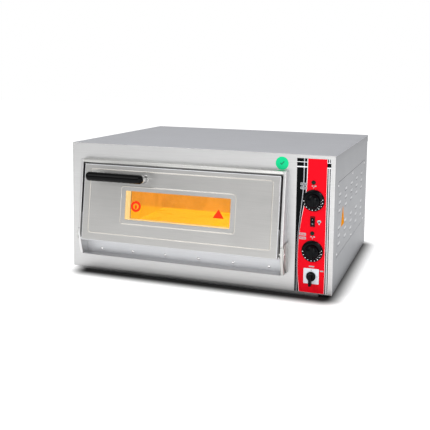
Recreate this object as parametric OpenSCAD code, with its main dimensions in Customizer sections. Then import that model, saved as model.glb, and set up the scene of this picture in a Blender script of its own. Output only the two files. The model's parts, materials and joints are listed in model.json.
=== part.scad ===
// Single-deck electric oven with a drop-down window door and a control strip.
// Units are millimetres. +X right, +Y back, +Z up.
// The origin is the middle of the overall box at the surface the plinth stands on.

/* [Casing] */
// Width of the casing over both side flanges
body_w = 900; // [890:2:930]
// Depth of the casing from the front sheet to the back edge
body_d = 720; // [710:5:760]
// Height of the casing without its plinth
body_h = 430; // [428:1:440]
// Height of the plinth under the casing
plinth_h = 8; // [6:1:12]
// Width of the plinth
plinth_w = 820; // [780:2:830]
// Depth of the plinth
plinth_d = 660; // [600:5:690]
// Thickness of the casing sheet
sheet = 1.2; // [1:0.1:1.4]
// Depth of the side flanges folded down from the top cover
top_flange = 25; // [20:1:30]

/* [Mouth] */
// Clear width between the cheeks
mouth_w = 690; // [689:1:692]
// Middle of the mouth measured from the middle of the casing
mouth_x = -48; // [-48.5:0.5:-47.5]
// Underside of the top plate above the casing's bottom edge
mouth_top = 368; // [367.5:0.5:369]
// Height of the folded channel over the mouth
hood_h = 10.5; // [9:0.5:11.5]
// Top of the ledge below the door
ledge_z = 59; // [58:0.5:60]
// How far the ledge stands out
ledge_out = 39; // [38:1:41]
// Width of the folded cheek on each side of the mouth
cheek_w = 9.5; // [9:0.5:11]
// How far the cheeks stand out at the top
cheek_top_out = 25; // [22:1:28]
// How far the cheeks stand out beside the hinges
cheek_low_out = 53; // [52.5:0.5:54]
// Number of rivets in the sill strip
rivet_count = 6; // [4:1:7]
// Distance between rivets
rivet_pitch = 118; // [80:2:118]
// Middle of the rivet row measured from the middle of the mouth
rivet_x = 3.5; // [0:0.5:5]

/* [Door] */
// Width of the door
door_w = 677; // [675:1:677]
// Height of the door along its slope
door_h = 255; // [252:0.5:255.5]
// Thickness of the door
door_t = 45; // [42:1:45]
// Backward lean of the closed door in degrees
door_lean = 7.2; // [6.8:0.1:7.6]
// How far the lower front edge of the door stands out
door_out = 57; // [56:0.5:58]
// Height of the lower front edge above the casing's bottom edge
door_z = 110.5; // [109.5:0.5:111]
// Width of the window opening
window_w = 363; // [330:1:370]
// Height of the window opening
window_h = 94; // [80:1:96]
// Middle of the window up the slope of the door
window_s = 127; // [125:0.5:129]
// Inset of the pressed bead from the sides of the door
bead_inset = 22; // [20:1:26]
// Height of the outline of the pressed bead
bead_h = 216; // [208:1:218]
// Middle of the pressed bead up the slope of the door
bead_s = 133; // [130:1:134]
// Radius of the hinge pins
pin_r = 4; // [3.5:0.1:4.5]
// Turning clearance round a pin or shaft
run_gap = 0.05; // [0.03:0.01:0.08]

/* [Handle] */
// Length of the grip
grip_len = 204; // [190:2:210]
// Radius of the grip
grip_r = 15; // [13:0.5:16]
// Middle of the grip in front of the door skin
grip_out = 45; // [42:1:48]
// Middle of the grip up the slope of the door
grip_s = 215.5; // [212:0.5:217]
// Middle of the grip measured from the middle of the door
grip_x = -204; // [-206:1:-190]

/* [Chamber] */
// Clear width of the baking chamber
chamber_w = 620; // [610:2:622]
// Chamber back wall behind the front sheet
chamber_d = 560; // [550:2:570]
// Top of the hearth stones above the casing's bottom edge
hearth_z = 105; // [104:0.5:105]
// Ceiling of the chamber above the casing's bottom edge
ceiling_z = 290; // [288:0.5:292]
// Floor sheet of the heater bay below the stones
bay_z = 50; // [48:0.5:52]
// Thickness of the hearth stones
stone_t = 15; // [12:1:16]
// Radius of the heating element tube
element_r = 4.25; // [4:0.05:4.5]
// Height of the upper elements
upper_z = 272; // [270:0.5:273]
// Height of the lower elements
lower_z = 72; // [70:0.5:73]

/* [Controls] */
// Middle of the control strip measured from the middle of the casing
strip_x = 385; // [384:0.5:386]
// Width of the control overlay
strip_w = 104.5; // [103:0.5:106]
// Radius of the thermostat knob skirts
knob_r = 33.5; // [28:0.5:34]
// Radius of the thermostat shafts
shaft_r = 3; // [2.8:0.1:3.2]
// Height of the upper knob
upper_knob_z = 291; // [289:0.5:294]
// Height of the lower knob
lower_knob_z = 134; // [132:0.5:138]
// Side of the square main switch plate
cam_plate = 48; // [44:1:48]
// Tilt of the lamp rocker to each side in degrees
rocker_tilt = 8; // [6:0.5:9]

/* [Cable entry] */
// Radius of the clear bore through the cable gland
gland_bore_r = 7.5; // [5:0.5:8]
// How far the gland stands out behind the casing
gland_out = 22; // [20:1:24]

/* [Hidden] */
$fn = 48;

steel = [0.74, 0.74, 0.73];
dark_steel = [0.50, 0.50, 0.50];
black = [0.05, 0.05, 0.05];
wool = [0.86, 0.82, 0.66];

half_w = body_w / 2;
side_out = half_w - sheet;
side_in = side_out - sheet;
grip_reach = grip_out * cos(door_lean) - grip_s * sin(door_lean) + door_out + grip_r;
front_y = -(body_d + gland_out - grip_reach) / 2;
cheek_in = mouth_w / 2;
cheek_out = cheek_in + cheek_w;
wall_out = cheek_in + sheet;
opening_in = wall_out + 0.3;
knee_z = 128;
lip_hole_z = 145;
base_flange = 25;

pivot_y = 8;
pivot_s = 17;
seat_gap = 6;
seat_t = 1.5;
arm_t = 4;
arm_half = 8;
stop_r = 3;
bracket_t = 3.5;
shell_t = 1.5;
ch_l = mouth_x - chamber_w / 2;
ch_r = mouth_x + chamber_w / 2;
insul_l = -side_in + 6;
divider_x = 300;
insul_back = chamber_d + shell_t + 100;
seat_back_d = 34;

leg_d = [110, 210, 340, 440];
bend_x = -280;
leg_end = 312;
stud_end = 326;
sensor_d = 60;
sensor_r = 3;
upper_sensor_z = 262;
lower_sensor_z = 80;
lamp_d = 500;
lamp_z = 225;
lamp_r = 22;

overlay_t = 0.5;
strip_bottom = 3.6;
strip_h = 415;
knob_x = strip_x + 1.5;
pilot_z = [346, 189.2];
rocker_z = 226;
cam_z = 56;

service_d = [62, 650];
service_z = [104, 339];
louvre_d = [101, 219, 337, 454, 577];
louvre_z = [298, 272, 246, 192, 166, 140];
gland_x = 375;
gland_z = 60;

// ---------- placing helpers ----------

// A box given by its two X limits, depths behind the front sheet and heights.
module block(x, d, z) {
  translate([x[0], front_y + d[0], plinth_h + z[0]])
    cube([x[1] - x[0], d[1] - d[0], z[1] - z[0]]);
}

// A plate seen from the front. Its back face is at depth d.
module front_plate(d, t) {
  translate([0, front_y + d, plinth_h]) rotate([90, 0, 0]) linear_extrude(t) children();
}

// A profile of depth and height, drawn out along +X from x.
module side_profile(x, w) {
  translate([x, front_y, plinth_h]) rotate([90, 0, 90]) linear_extrude(w) children();
}

// The frame of the closed door: X from its middle, Y back from its skin, Z up its slope.
module door_frame() {
  translate([mouth_x, front_y - door_out, plinth_h + door_z]) rotate([-door_lean, 0, 0]) children();
}

// A plate in the door frame, from y to y + t.
module door_plate(y, t) {
  translate([0, y + t, 0]) rotate([90, 0, 0]) linear_extrude(t) children();
}

// A rod along +X.
module rod_x(x, len, d, z, r) {
  translate([x, front_y + d, plinth_h + z]) rotate([0, 90, 0]) cylinder(h = len, r = r);
}

// A rod from depth d towards the front.
module rod_front(x, d, len, z, r1, r2) {
  translate([x, front_y + d, plinth_h + z]) rotate([90, 0, 0]) cylinder(h = len, r1 = r1, r2 = r2);
}

// A rectangle with round corners, centred.
module round_rect(w, h, r) {
  square([w - 2 * r, h], center = true);
  square([w, h - 2 * r], center = true);
  for (x = [-1, 1], y = [-1, 1]) translate([x * (w / 2 - r), y * (h / 2 - r)]) circle(r);
}

// A rectangular ring with round corners, centred.
module round_ring(w, h, r, band) {
  difference() {
    round_rect(w, h, r);
    round_rect(w - 2 * band, h - 2 * band, max(r - band, 0.6));
  }
}

// A thin round tube through a list of points of X, depth and height.
module tube_path(points, r) {
  for (i = [0:len(points) - 2]) {
    a = points[i];
    b = points[i + 1];
    v = b - a;
    n = norm(v);
    translate([a[0], front_y + a[1], plinth_h + a[2]])
      rotate([0, acos(v[2] / n), atan2(v[1], v[0])]) cylinder(h = n, r = r, $fn = 16);
    if (i > 0) translate([a[0], front_y + a[1], plinth_h + a[2]]) sphere(r, $fn = 16);
  }
}

// ---------- casing ----------

module front_panel() {
  color(steel) difference() {
    union() {
      front_plate(sheet, sheet) translate([-half_w, 0]) square([body_w, body_h]);
      for (s = [-1, 1])
        block(s > 0 ? [side_in - sheet, side_in] : [-side_in, -side_in + sheet],
          [sheet, 14], [base_flange + 2, body_h - sheet]);
      block([-side_in, side_in], [sheet, 14], [body_h - 2 * sheet, body_h - sheet]);
    }
    front_plate(sheet + 1, sheet + 2) {
      translate([mouth_x - opening_in, ledge_z - sheet - 0.3])
        square([2 * opening_in, mouth_top - ledge_z + 2 * sheet + 0.6]);
      for (z = [upper_knob_z, lower_knob_z]) translate([knob_x, z]) circle(5.2);
      for (z = pilot_z) translate([strip_x, z]) circle(5.2);
      translate([strip_x, rocker_z]) square([12.4, 28.6], center = true);
      translate([strip_x, cam_z]) circle(7);
    }
  }
}

module top_cover() {
  color(steel) {
    block([-half_w, half_w], [sheet, body_d], [body_h - sheet, body_h]);
    block([-half_w, -side_out], [sheet, body_d], [body_h - top_flange, body_h - sheet]);
    block([side_out, half_w], [sheet, body_d], [body_h - top_flange, body_h - sheet]);
    difference() {
      block([-side_out, side_out], [body_d - sheet, body_d], [body_h - 20, body_h - sheet]);
      for (i = [-3:2:3]) back_hole(i * 125, body_h - 10);
    }
  }
}

// A screw hole through the back sheets.
module back_hole(x, z) {
  translate([x, front_y + body_d + 1, plinth_h + z]) rotate([90, 0, 0]) cylinder(h = 12, r = 2);
}

module left_side_panel() {
  color(steel) block([-side_out, -side_in], [sheet, body_d - sheet], [0, body_h - sheet]);
}

module right_side_panel() {
  dl = service_d;
  zl = service_z;
  color(steel) {
    difference() {
      block([side_in, side_out], [sheet, body_d - sheet], [0, body_h - sheet]);
      block([side_in - 1, side_out + 1], [dl[0] - 1, dl[1] + 1], [zl[0] - 1, zl[1] + 1]);
    }
    difference() {
      block([side_in - sheet, side_in], [dl[0] - 12, dl[1] + 12], [zl[0] - 12, zl[1] + 12]);
      block([side_in - 4, side_out], [dl[0] + 16, dl[1] - 16], [zl[0] + 16, zl[1] - 16]);
      service_screw_points() rod_x(side_in - 4, 8, 0, 0, 2);
    }
  }
}

// The six screw positions of the service panel.
module service_screw_points() {
  for (d = [service_d[0] + 9, (service_d[0] + service_d[1]) / 2, service_d[1] - 9])
    for (z = [service_z[0] + 9, service_z[1] - 9]) translate([0, d, z]) children();
}

module service_panel() {
  color(steel) {
    difference() {
      block([side_in, side_out], service_d, service_z);
      for (d = louvre_d, z = louvre_z)
        side_profile(side_in - 1, sheet + 2) translate([d, z]) round_rect(40, 7, 3);
      service_screw_points() rod_x(side_in - 4, 8, 0, 0, 2);
    }
    for (d = louvre_d, z = louvre_z)
      translate([side_in, front_y + d - 20, plinth_h + z + 4.4]) rotate([0, -55, 0])
        translate([-9, 0, -1]) cube([9.6, 40, 1]);
  }
}

module back_panel() {
  color(steel) difference() {
    block([-side_in, side_in], [body_d - 2 * sheet, body_d - sheet], [sheet, body_h - sheet]);
    for (i = [-3:2:3]) back_hole(i * 125, body_h - 10);
    rod_front(gland_x, body_d + 1, 6, gland_z, 10, 10);
    for (z = [250:14:334])
      translate([gland_x, front_y + body_d, plinth_h + z]) rotate([90, 0, 0])
        linear_extrude(6) round_rect(70, 5, 2.4);
  }
}

module casing_screws() {
  color(dark_steel) {
    service_screw_points() {
      rod_x(side_out, 1.1, 0, 0, 4);
      rod_x(side_out - 8, 8, 0, 0, 2);
    }
    for (i = [-3:2:3]) {
      rod_front(i * 125, body_d + 2.2, 2.2, body_h - 10, 3, 4);
      rod_front(i * 125, body_d, 8, body_h - 10, 2, 2);
    }
  }
}

module base_pan() {
  color(steel) {
    block([-side_in, side_in], [sheet, body_d - 2 * sheet], [0, sheet]);
    for (s = [-1, 1])
      block(s > 0 ? [side_in - sheet, side_in] : [-side_in, -side_in + sheet],
        [sheet, body_d - 2 * sheet], [0, base_flange]);
    block([-side_in, side_in], [sheet, 2 * sheet], [0, base_flange]);
    block([-side_in, side_in], [body_d - 3 * sheet, body_d - 2 * sheet], [0, base_flange]);
  }
}

// A folded frame with an inward foot flange, notched where its front wall is joined.
module plinth() {
  l = -plinth_w / 2 - 2;
  r = plinth_w / 2 - 2;
  color(steel) difference() {
    block([l, r], [0, plinth_d], [-plinth_h, 0]);
    block([l + sheet, r - sheet], [sheet, plinth_d - sheet], [-plinth_h + sheet, 1]);
    block([l + 25, r - 25], [25, plinth_d - 25], [-plinth_h - 1, 1]);
    block([294, 296.5], [-1, 30], [-plinth_h - 1, 1]);
  }
}

module compartment_divider() {
  color(dark_steel) difference() {
    block([divider_x, divider_x + sheet], [14.5, body_d - 3 * sheet], [sheet, body_h - sheet]);
    wall_holes(0.6);
  }
}

// ---------- mouth ----------

// Outline of one folded cheek in depth and height, shrunk all round by t.
module cheek_outline(t) {
  polygon([[-ledge_out + 5 + 0.8 * t, ledge_z - sheet + t], [-ledge_out - 3 + t, ledge_z + 23],
    [-cheek_low_out + t, knee_z], [-cheek_top_out + t, mouth_top + hood_h - t],
    [t > 0 ? 1 : 0, mouth_top + hood_h - t], [t > 0 ? 1 : 0, ledge_z - sheet + t]]);
}

module mouth_frame() {
  color(steel) {
    for (s = [-1, 1]) difference() {
      union() {
        difference() {
          side_profile(mouth_x + (s > 0 ? cheek_in : -cheek_out), cheek_w) cheek_outline(0);
          side_profile(mouth_x + (s > 0 ? wall_out : -cheek_out + sheet), cheek_w - 2 * sheet)
            cheek_outline(sheet);
        }
        block(s > 0 ? [mouth_x + cheek_in, mouth_x + wall_out]
          : [mouth_x - wall_out, mouth_x - cheek_in],
          [0, seat_back_d], [ledge_z - sheet, mouth_top + sheet]);
      }
      pin_axis() rotate([0, 90, 0]) cylinder(h = 2000, r = pin_r + 0.2, center = true);
      rod_front(mouth_x + s * (cheek_in + cheek_w / 2), -20, 80, lip_hole_z, 3, 3);
    }
    difference() {
      block([mouth_x - cheek_in, mouth_x + cheek_in], [-cheek_top_out, 0],
        [mouth_top, mouth_top + hood_h]);
      block([mouth_x - cheek_in - 1, mouth_x + cheek_in + 1], [-cheek_top_out + sheet, 1],
        [mouth_top + sheet, mouth_top + hood_h - sheet]);
    }
    block([mouth_x - cheek_in, mouth_x + cheek_in], [0, seat_back_d],
      [mouth_top, mouth_top + sheet]);
    block([mouth_x - cheek_in, mouth_x + cheek_in], [-ledge_out, seat_back_d - 24],
      [ledge_z - sheet, ledge_z]);
  }
}

module sill_plate() {
  color(steel) difference() {
    union() {
      block([mouth_x - cheek_in, mouth_x + cheek_in], [-sheet, 0], [ledge_z, hearth_z]);
      block([ch_l, ch_r], [0, 45], [hearth_z - sheet, hearth_z]);
    }
    rivet_points() translate([0, 1, 0]) rotate([90, 0, 0]) cylinder(h = 4, r = 2);
  }
}

// Rivet positions on the back face of the sill strip.
module rivet_points() {
  for (i = [0:rivet_count - 1])
    translate([mouth_x + rivet_x + (i - (rivet_count - 1) / 2) * rivet_pitch, front_y,
      plinth_h + ledge_z + 12.5]) children();
}

module sill_rivets() {
  color(steel) rivet_points() rotate([90, 0, 0]) {
    cylinder(h = sheet, r = 2);
    translate([0, 0, sheet]) cylinder(h = 0.8, r = 4.5);
    translate([0, 0, sheet + 0.8]) cylinder(h = 1, r1 = 4.5, r2 = 2.6);
  }
}

module door_seat() {
  top = (mouth_top - door_z + (door_t + seat_gap + seat_t) * sin(door_lean)) / cos(door_lean) - 0.4;
  lintel = (ceiling_z - door_z + (door_t + seat_gap) * sin(door_lean)) / cos(door_lean);
  color(steel) door_frame() door_plate(door_t + seat_gap, seat_t) difference() {
    translate([-cheek_in, -2]) square([mouth_w, top + 2]);
    translate([-chamber_w / 2, -3]) square([chamber_w, lintel + 3]);
  }
}

module seat_gasket() {
  low = 60;
  lintel = (ceiling_z - door_z + (door_t + seat_gap) * sin(door_lean)) / cos(door_lean) + 4;
  color(black) door_frame() door_plate(door_t + 0.4, seat_gap - 0.4) difference() {
    translate([-chamber_w / 2 - 13, low]) square([chamber_w + 26, lintel + 9 - low]);
    translate([-chamber_w / 2 - 4, low - 1]) square([chamber_w + 8, lintel + 1 - low]);
  }
}

// ---------- chamber ----------

module chamber_shell() {
  color(dark_steel) difference() {
    union() {
      block([ch_l - shell_t, ch_r + shell_t], [-15, chamber_d + shell_t],
        [bay_z, ceiling_z + shell_t]);
    }
    block([ch_l, ch_r], [11.5, chamber_d], [bay_z + shell_t, ceiling_z]);
    block([ch_l, ch_r], [-30, 20], [hearth_z - sheet, ceiling_z]);
    block([ch_l - 5, ch_r + 5], [-30, 10], [bay_z - 1, hearth_z]);
    block([ch_l - 5, ch_r + 5], [-30, 10.1], [bay_z - 1, hearth_z + 2]);
    door_frame() translate([-mouth_w, -200, -100]) cube([2 * mouth_w, 200 + door_t + seat_gap + seat_t,
      500]);
    wall_holes(0.3);
  }
}

// Holes for element legs, sensors and lamp through the right-hand walls.
module wall_holes(gap) {
  for (d = leg_d, z = [upper_z, lower_z]) rod_x(ch_r - 5, 60, d, z, element_r + gap);
  for (z = [upper_sensor_z, lower_sensor_z]) rod_x(ch_r - 5, 60, sensor_d, z, sensor_r + gap);
  rod_x(ch_r - 5, 60, lamp_d, lamp_z, lamp_r + gap);
}

module roof_insulation() {
  color(wool) block([insul_l, divider_x - 0.5], [seat_back_d + 1, insul_back],
    [ceiling_z + shell_t, body_h - 10]);
}

module floor_insulation() {
  color(wool) block([insul_l, divider_x - 0.5], [12, insul_back], [sheet + 2, bay_z]);
}

module left_insulation() {
  color(wool) block([insul_l, ch_l - shell_t], [seat_back_d + 1, chamber_d + shell_t],
    [bay_z, ceiling_z + shell_t]);
}

module right_insulation() {
  color(wool) difference() {
    block([ch_r + shell_t, divider_x - 0.5], [seat_back_d + 1, chamber_d + shell_t],
      [bay_z, ceiling_z + shell_t]);
    wall_holes(0.6);
  }
}

module back_insulation() {
  color(wool) block([insul_l, divider_x - 0.5], [chamber_d + shell_t, insul_back],
    [bay_z, ceiling_z + shell_t]);
}

module hearth_stones() {
  color([0.78, 0.70, 0.58]) {
    block([ch_l + 1.5, mouth_x - 0.75], [46, chamber_d - 2], [hearth_z - stone_t, hearth_z]);
    block([mouth_x + 0.75, ch_r - 1.5], [46, chamber_d - 2], [hearth_z - stone_t, hearth_z]);
  }
}

module stone_supports() {
  color(dark_steel) difference() {
    for (x = [ch_l + 6, -250, mouth_x - 2, 120, ch_r - 10])
      block([x, x + 4], [46, chamber_d - 2], [bay_z + shell_t, hearth_z - stone_t]);
    for (d = leg_d) rod_x(-300, 580, d, lower_z, element_r + 0.3);
    rod_x(ch_r - 90, 100, sensor_d, lower_sensor_z, sensor_r + 0.3);
  }
}

// Two hairpin heating elements at height z.
module hairpins(z) {
  for (i = [0, 2]) {
    bend_r = (leg_d[i + 1] - leg_d[i]) / 2;
    translate([bend_x, front_y + leg_d[i] + bend_r, plinth_h + z]) rotate([0, 0, 90]) {
      rotate_extrude(angle = 180) translate([bend_r, 0]) circle(element_r);
      for (s = [-1, 1]) translate([s * bend_r, 0, 0]) rotate([90, 0, 0]) {
        cylinder(h = leg_end - bend_x, r = element_r);
        translate([0, 0, leg_end - bend_x]) cylinder(h = stud_end - leg_end, r = 2);
      }
    }
  }
}

module upper_elements() {
  color([0.30, 0.28, 0.27]) hairpins(upper_z);
}

module lower_elements() {
  color([0.30, 0.28, 0.27]) hairpins(lower_z);
}

module upper_hangers() {
  color(dark_steel) difference() {
    for (x = [-250, mouth_x - 2, 120])
      block([x, x + 3], [90, 460], [upper_z - 8, ceiling_z]);
    for (d = leg_d) rod_x(-300, 580, d, upper_z, element_r + 0.3);
  }
}

module element_flanges() {
  color(steel) for (i = [0, 2], z = [upper_z, lower_z]) difference() {
    block([divider_x + sheet, divider_x + sheet + 2], [leg_d[i] - 12, leg_d[i + 1] + 12],
      [z - 12, z + 12]);
    for (d = [leg_d[i], leg_d[i + 1]]) rod_x(ch_r, 60, d, z, element_r);
  }
}

module lamp_holder() {
  color(dark_steel) {
    difference() {
      union() {
        rod_x(ch_r - 2, 2, lamp_d, lamp_z, 28);
        rod_x(ch_r, 66, lamp_d, lamp_z, lamp_r);
      }
      rod_x(ch_r - 3, 67, lamp_d, lamp_z, lamp_r - 2);
    }
    difference() {
      rod_x(ch_r + 38, 26, lamp_d, lamp_z, 12);
      rod_x(ch_r + 36, 16, lamp_d, lamp_z, 7);
    }
  }
}

module lamp_bulb() {
  color([1, 0.9, 0.6]) translate([ch_r + 12, front_y + lamp_d, plinth_h + lamp_z])
    rotate([0, 90, 0]) rotate_extrude() intersection() {
      translate([0, -11]) square([11, 51]);
      union() {
        circle(11);
        square([7, 40]);
      }
    }
}

module lamp_glass() {
  color([0.9, 0.92, 0.9, 0.5]) difference() {
    rod_x(ch_r - 14, 20, lamp_d, lamp_z, lamp_r - 2);
    rod_x(ch_r - 11.5, 20, lamp_d, lamp_z, lamp_r - 4.5);
  }
}

// ---------- door ----------

module door_outer_skin() {
  color(steel) door_frame() difference() {
    union() {
      door_plate(0, sheet) translate([-door_w / 2, 0]) square([door_w, door_h]);
      door_plate(-1, 1) {
        translate([0, bead_s]) round_ring(door_w - 2 * bead_inset, bead_h, 8, 4);
        translate([0, window_s]) round_ring(window_w + 38, window_h + 34, 12, 4);
      }
      for (s = [-1, 1]) translate([s > 0 ? door_w / 2 - sheet : -door_w / 2, sheet, 0])
        cube([sheet, door_t - sheet, door_h]);
      translate([-door_w / 2, sheet, 0]) cube([door_w, door_t - sheet, sheet]);
      translate([-door_w / 2, sheet, door_h - sheet]) cube([door_w, door_t - sheet, sheet]);
    }
    door_plate(-2, sheet + 3) translate([0, window_s]) round_rect(window_w, window_h, 3);
    handle_points() translate([0, 10, 0]) rotate([90, 0, 0]) cylinder(h = 20, r = 4.3);
  }
}

module door_inner_skin() {
  color(steel) door_frame() door_plate(door_t - sheet, sheet) difference() {
    translate([-door_w / 2 + sheet, sheet]) square([door_w - 2 * sheet, door_h - 2 * sheet]);
    translate([0, window_s]) round_rect(window_w, window_h, 3);
  }
}

module door_insulation() {
  color(wool) door_frame() door_plate(7.4, door_t - 14) difference() {
    translate([-door_w / 2 + 2, 2]) square([door_w - 4, door_h - 4]);
    translate([0, window_s]) square([window_w + 4, window_h + 4], center = true);
  }
}

module window_tunnel() {
  lip_w = window_w + 20;
  lip_h = window_h + 20;
  color(steel) door_frame() translate([0, 0, window_s]) {
    door_plate(5.2, 1.2) round_ring(lip_w, lip_h, 2, 10);
    door_plate(door_t - 6.4, 1.2) round_ring(lip_w, lip_h, 2, 10);
    door_plate(6.4, door_t - 12.8) difference() {
      square([window_w + 3, window_h + 3], center = true);
      square([window_w, window_h], center = true);
    }
  }
}

module outer_glass() {
  color([0.95, 0.75, 0.4, 0.4]) door_frame() door_plate(sheet, 4)
    translate([0, window_s]) square([window_w + 20, window_h + 20], center = true);
}

module inner_glass() {
  color([0.95, 0.75, 0.4, 0.4]) door_frame() door_plate(door_t - sheet - 4, 4)
    translate([0, window_s]) square([window_w + 20, window_h + 20], center = true);
}

module window_symbols() {
  color([0.9, 0.12, 0.06]) door_frame() door_plate(sheet - 0.3, 0.3) {
    translate([-143, window_s - 2]) difference() {
      circle(18);
      circle(10);
    }
    translate([143, window_s - 4]) polygon([[-18.5, -13], [18.5, -13], [0, 15]]);
  }
}

// ---------- handle ----------

// The two bolt positions of the handle on the door skin.
module handle_points() {
  for (s = [-1, 1]) translate([grip_x + s * (grip_len / 2 - grip_r), 0, grip_s]) children();
}

// Half outline of the grip for turning.
module grip_profile() {
  end_r = grip_r - 3;
  intersection() {
    translate([0, -grip_len]) square([grip_r, 2 * grip_len]);
    union() {
      square([2 * grip_r, grip_len - 2 * end_r], center = true);
      square([6, grip_len], center = true);
      for (s = [-1, 1]) translate([3, s * (grip_len / 2 - end_r)]) circle(end_r);
    }
  }
}

module handle_grip() {
  color(black) door_frame() difference() {
    translate([grip_x, -grip_out, grip_s]) rotate([0, 90, 0])
      rotate_extrude() grip_profile();
    handle_points() translate([0, 1, 0]) rotate([90, 0, 0]) cylinder(h = grip_out - 1, r = 4);
  }
}

module handle_standoffs() {
  color(steel) door_frame() difference() {
    handle_points() rotate([90, 0, 0]) cylinder(h = grip_out - 3, r = grip_r - 1);
    translate([grip_x - grip_len, -grip_out, grip_s]) rotate([0, 90, 0])
      cylinder(h = 2 * grip_len, r = grip_r);
    handle_points() translate([0, 1, 0]) rotate([90, 0, 0]) cylinder(h = grip_out, r = 4.3);
  }
}

module handle_bolts() {
  color(dark_steel) door_frame() handle_points() {
    translate([0, sheet, 0]) rotate([90, 0, 0]) cylinder(h = grip_out - 2 + sheet, r = 4);
    translate([0, sheet + 5, 0]) rotate([90, 0, 0]) cylinder(h = 5, r = 6.5);
  }
}

// ---------- hinge ----------

// The hinge axis, in the middle of the door.
module pin_axis() {
  door_frame() translate([0, pivot_y, pivot_s]) children();
}

module hinge_arms() {
  color(dark_steel) pin_axis() for (s = [-1, 1])
    translate([s > 0 ? door_w / 2 : -door_w / 2 - arm_t, 0, 0]) difference() {
      union() {
        rotate([0, 90, 0]) cylinder(h = arm_t, r = arm_half);
        translate([0, -arm_half, 0]) cube([arm_t, 2 * arm_half, 75]);
      }
      translate([-1, 0, 0]) rotate([0, 90, 0]) cylinder(h = arm_t + 2, r = pin_r + run_gap);
    }
}

module hinge_pins() {
  color(steel) pin_axis() for (s = [-1, 1]) {
    reach = cheek_out + bracket_t;
    translate([s > 0 ? door_w / 2 + 0.3 : -reach, 0, 0]) rotate([0, 90, 0])
      cylinder(h = reach - door_w / 2 - 0.3, r = pin_r);
    translate([s > 0 ? reach : -reach - 1.6, 0, 0]) rotate([0, 90, 0]) cylinder(h = 1.6, r = 5.2);
  }
}

module hinge_brackets() {
  color(steel) for (s = [-1, 1]) difference() {
    side_profile(mouth_x + (s > 0 ? cheek_out : -cheek_out - bracket_t), bracket_t)
      polygon([[0, 58], [-12, 58], [-52, 114], [-52, 138], [-38, 156], [0, 156]]);
    pin_axis() rotate([0, 90, 0]) cylinder(h = 2000, r = pin_r, center = true);
  }
}

module door_stops() {
  color(dark_steel) for (s = [-1, 1])
    pin_axis() rotate([door_lean, 0, 0])
      translate([s > 0 ? door_w / 2 + 1 : -cheek_in, -3, -arm_half - stop_r - 0.1])
        rotate([0, 90, 0]) cylinder(h = cheek_in - door_w / 2 - 1, r = stop_r);
}

// ---------- controls ----------

module control_overlay() {
  color([0.75, 0.08, 0.10]) front_plate(0, overlay_t) difference() {
    translate([strip_x, strip_bottom + strip_h / 2]) round_rect(strip_w, strip_h, 3);
    for (z = [upper_knob_z, lower_knob_z]) translate([knob_x, z]) circle(5.6);
    for (z = pilot_z) translate([strip_x, z]) circle(5.2);
    translate([strip_x, rocker_z]) square([12.4, 28.6], center = true);
    translate([strip_x, cam_z]) circle(7);
  }
}

// A thermostat knob with its shaft, at height z.
module thermostat_knob(z) {
  difference() {
    union() {
      rod_front(knob_x, -2.5, 3.5, z, knob_r, knob_r);
      rod_front(knob_x, -6, 2.5, z, knob_r, knob_r - 5);
      rod_front(knob_x, -8, 12, z, 22, 20);
      rod_front(knob_x, -20, 2, z, 20, 16);
      block([knob_x - 5, knob_x + 5], [-26, -19], [z - 18, z + 18]);
    }
  }
  rod_front(knob_x, 18, 22, z, shaft_r, shaft_r);
}

module upper_knob() {
  color(black) thermostat_knob(upper_knob_z);
}

module lower_knob() {
  color(black) thermostat_knob(lower_knob_z);
}

// A thermostat body with its threaded bush, at height z.
module thermostat_body(z) {
  difference() {
    union() {
      block([knob_x - 22, knob_x + 22], [sheet, 36], [z - 22, z + 22]);
      rod_front(knob_x, sheet, sheet + 2, z, 5, 5);
    }
    rod_front(knob_x, 18.5, 30, z, shaft_r + run_gap, shaft_r + run_gap);
  }
}

module upper_thermostat() {
  color([0.86, 0.85, 0.80]) thermostat_body(upper_knob_z);
}

module lower_thermostat() {
  color([0.86, 0.85, 0.80]) thermostat_body(lower_knob_z);
}

// A sensing bulb with its thin tube running to a thermostat.
module sensor(z, knob_z) {
  rod_x(ch_r - 65, 66, sensor_d, z, sensor_r);
  tube_path([[ch_r + 1, sensor_d, z], [340, sensor_d, z], [340, sensor_d, knob_z],
    [knob_x, sensor_d, knob_z], [knob_x, 36, knob_z]], 1);
}

module upper_sensor() {
  color([0.72, 0.45, 0.30]) sensor(upper_sensor_z, upper_knob_z);
}

module lower_sensor() {
  color([0.72, 0.45, 0.30]) sensor(lower_sensor_z, lower_knob_z);
}

module pilot_lights() {
  color([0.05, 0.30, 0.16]) for (z = pilot_z) {
    rod_front(strip_x, 20, 20 + overlay_t, z, 5, 5);
    rod_front(strip_x, -overlay_t, 2.5, z, 6.5, 6.5);
    rod_front(strip_x, -overlay_t - 2.5, 1.5, z, 6.5, 4.5);
  }
}

module rocker_housing() {
  color(black) difference() {
    union() {
      front_plate(-overlay_t, 2) translate([strip_x, rocker_z]) round_rect(14.4, 32, 1);
      block([strip_x - 6, strip_x + 6], [-overlay_t, 20], [rocker_z - 14.2, rocker_z + 14.2]);
    }
    block([strip_x - 5.6, strip_x + 5.6], [-overlay_t - 3, 8], [rocker_z - 13.7, rocker_z + 13.7]);
    rod_x(strip_x - 5.9, 11.8, 0, rocker_z, 1.2 + run_gap);
  }
}

module lamp_rocker() {
  color([0.09, 0.09, 0.09]) translate([strip_x, front_y, plinth_h + rocker_z])
    rotate([rocker_tilt, 0, 0]) {
      translate([-5.2, 0, 0]) rotate([90, 0, 90]) linear_extrude(10.4)
        polygon([[-1.2, -12.8], [-4.2, -12.5], [-3.4, 0], [-4.2, 12.5], [-1.2, 12.8], [2.4, 0]]);
      translate([-5.8, 0, 0]) rotate([0, 90, 0]) cylinder(h = 11.6, r = 1.2);
    }
}

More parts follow.
